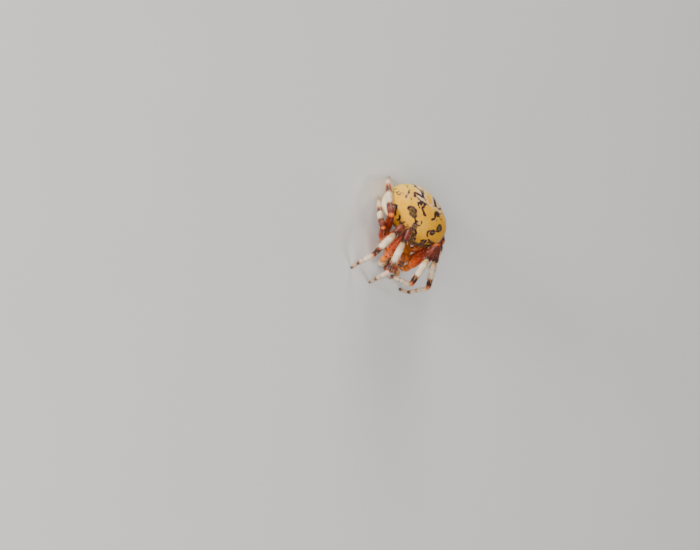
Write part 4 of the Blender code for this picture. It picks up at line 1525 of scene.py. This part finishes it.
settle(abdomen, marbled, "abdomen_yellow", "abdomen")
settle(shield, shield_shell, "shield_orange", "carapace")
settle(trunk, soft_shell, "belly_dark")
settle(plate, shield_shell, "belly_dark", "sternum")
settle(mouth, shield_shell, "jaw_brown", "mouthparts")
settle(waist, soft_shell, "jaw_brown", "pedicel")
settle(spinnerets, soft_shell, "belly_dark", "spinnerets")
settle(claws, horn_finish, "leg_cream")
for side in ("r", "l"):
    settle(jaws[side], shield_shell, "jaw_brown", "chelicera_" + side)
    settle(fangs[side], horn_finish, "jaw_brown")
    settle(palps[side], leg_shell, "palp_cream", "palp_" + side)
for (name, side), eye in eyes.items():
    settle(eye, eye_finish, "eye_black", "eye_" + name + "_" + side)
for key, leg in legs.items():
    settle(leg, leg_shell, "leg_cream", *(leg_name(key) + part for part in LEG_PARTS))
for coat, slot in coats:
    settle(coat, hair_finish, slot)
print("pieces settled", len(settled))

# %% [markdown]
# ## The floor
# The animal stands on a plain pale sheet that belongs to the stage and not to the model. A curved
# backdrop would hide the horizon, but the camera looks down, so one flat square is enough. It also
# throws light up under the legs.

# %% Floor
FLOOR_HALF = 12.0               # metres
FLOOR_CORNERS = np.array(((-1, -1, 0), (1, -1, 0), (1, 1, 0), (-1, 1, 0)))
floor = make_mesh("floor", FLOOR_CORNERS * FLOOR_HALF / MM, [np.array(((0, 1, 2, 3),))])
floor_finish = two_tone("floor_pale", 40.0, (0.78, 0.775, 0.76), (0.82, 0.815, 0.8), 0.8, 0.2)
floor.data.materials.append(floor_finish)
print("floor side in metres", 2 * FLOOR_HALF)

# %% [markdown]
# ## The camera
# The camera looks down at the animal through a long lens from about 35 cm away, and is rolled on
# its side, because the spider of this pose hung head down on its web. Three angles could say that,
# but it is easier to read as two directions: where the right side of the view points, and where
# the camera stands. The third axis follows from them.

# %% Camera
CAMERA_RIGHT = np.array([0.64, 0.17, 0.75])
CAMERA_BACK = np.array([-0.67, -0.36, 0.65])
CAMERA_DISTANCE = 347.0
LOOK_AT_RIGHT, LOOK_AT_UP = -6.39, -4.18        # mm from ORIGIN to the middle of the view
right = unit_rows(CAMERA_RIGHT)
back = unit_rows(CAMERA_BACK - right * CAMERA_BACK.dot(right))
up = np.cross(back, right)
look_at = ORIGIN + right * LOOK_AT_RIGHT + up * LOOK_AT_UP
camera_data = bpy.data.cameras.new("camera")
camera_data.lens = 100.0
camera_data.sensor_width = 36.0
camera_data.clip_start = 0.01
camera = bpy.data.objects.new("camera", camera_data)
bpy.context.scene.collection.objects.link(camera)
place = Matrix([[*row] for row in np.stack([right, up, back], -1)]).to_4x4()
place.translation = Vector((look_at + back * CAMERA_DISTANCE) * MM)
camera.matrix_world = place
bpy.context.scene.camera = camera
print("camera height in mm", round(place.translation.z / MM))

# %% [markdown]
# ## Lamps and sky
# Sunlight would be one hard lamp, but its black shadows would hide half of the legs. Four soft
# square lamps stand round the animal instead. The key stands low behind the tail and lights the
# edges of the legs, the side lamp stands low on its right, a weak one is almost overhead, and a
# broad fill stands near the camera. A weak, even sky takes the last black out of the shadows.

# %% Lamps and sky
def lamp(name, offset, size, power, colour):
    """A square lamp, size metres wide, at offset (mm) from the animal and turned to face it."""
    data = bpy.data.lights.new(name, "AREA")
    data.size = size
    data.energy = power
    data.color = colour
    made = bpy.data.objects.new(name, data)
    bpy.context.scene.collection.objects.link(made)
    spot = Vector(offset) * MM
    made.location = spot
    made.rotation_euler = (-spot).to_track_quat("-Z", "Y").to_euler()


lamp("key", (-130.0, 470.0, 110.0), 0.2, 2.3, (1.0, 0.98, 0.94))
lamp("side", (-480.0, -40.0, 40.0), 0.14, 3.0, (1.0, 0.98, 0.95))
lamp("top", (95.0, -150.0, 450.0), 0.16, 0.7, (1.0, 0.97, 0.93))
lamp("fill", (-380.0, -330.0, 290.0), 0.3, 2.1, (1.0, 0.99, 0.97))
world = bpy.data.worlds.new("studio")
bpy.context.scene.world = world
world.use_nodes = True
sky = world.node_tree.nodes["Background"]
sky.inputs["Color"].default_value = (1.0, 0.99, 0.97, 1.0)
sky.inputs["Strength"].default_value = 0.2
print("lamps", len(bpy.data.lights), "and a sky")
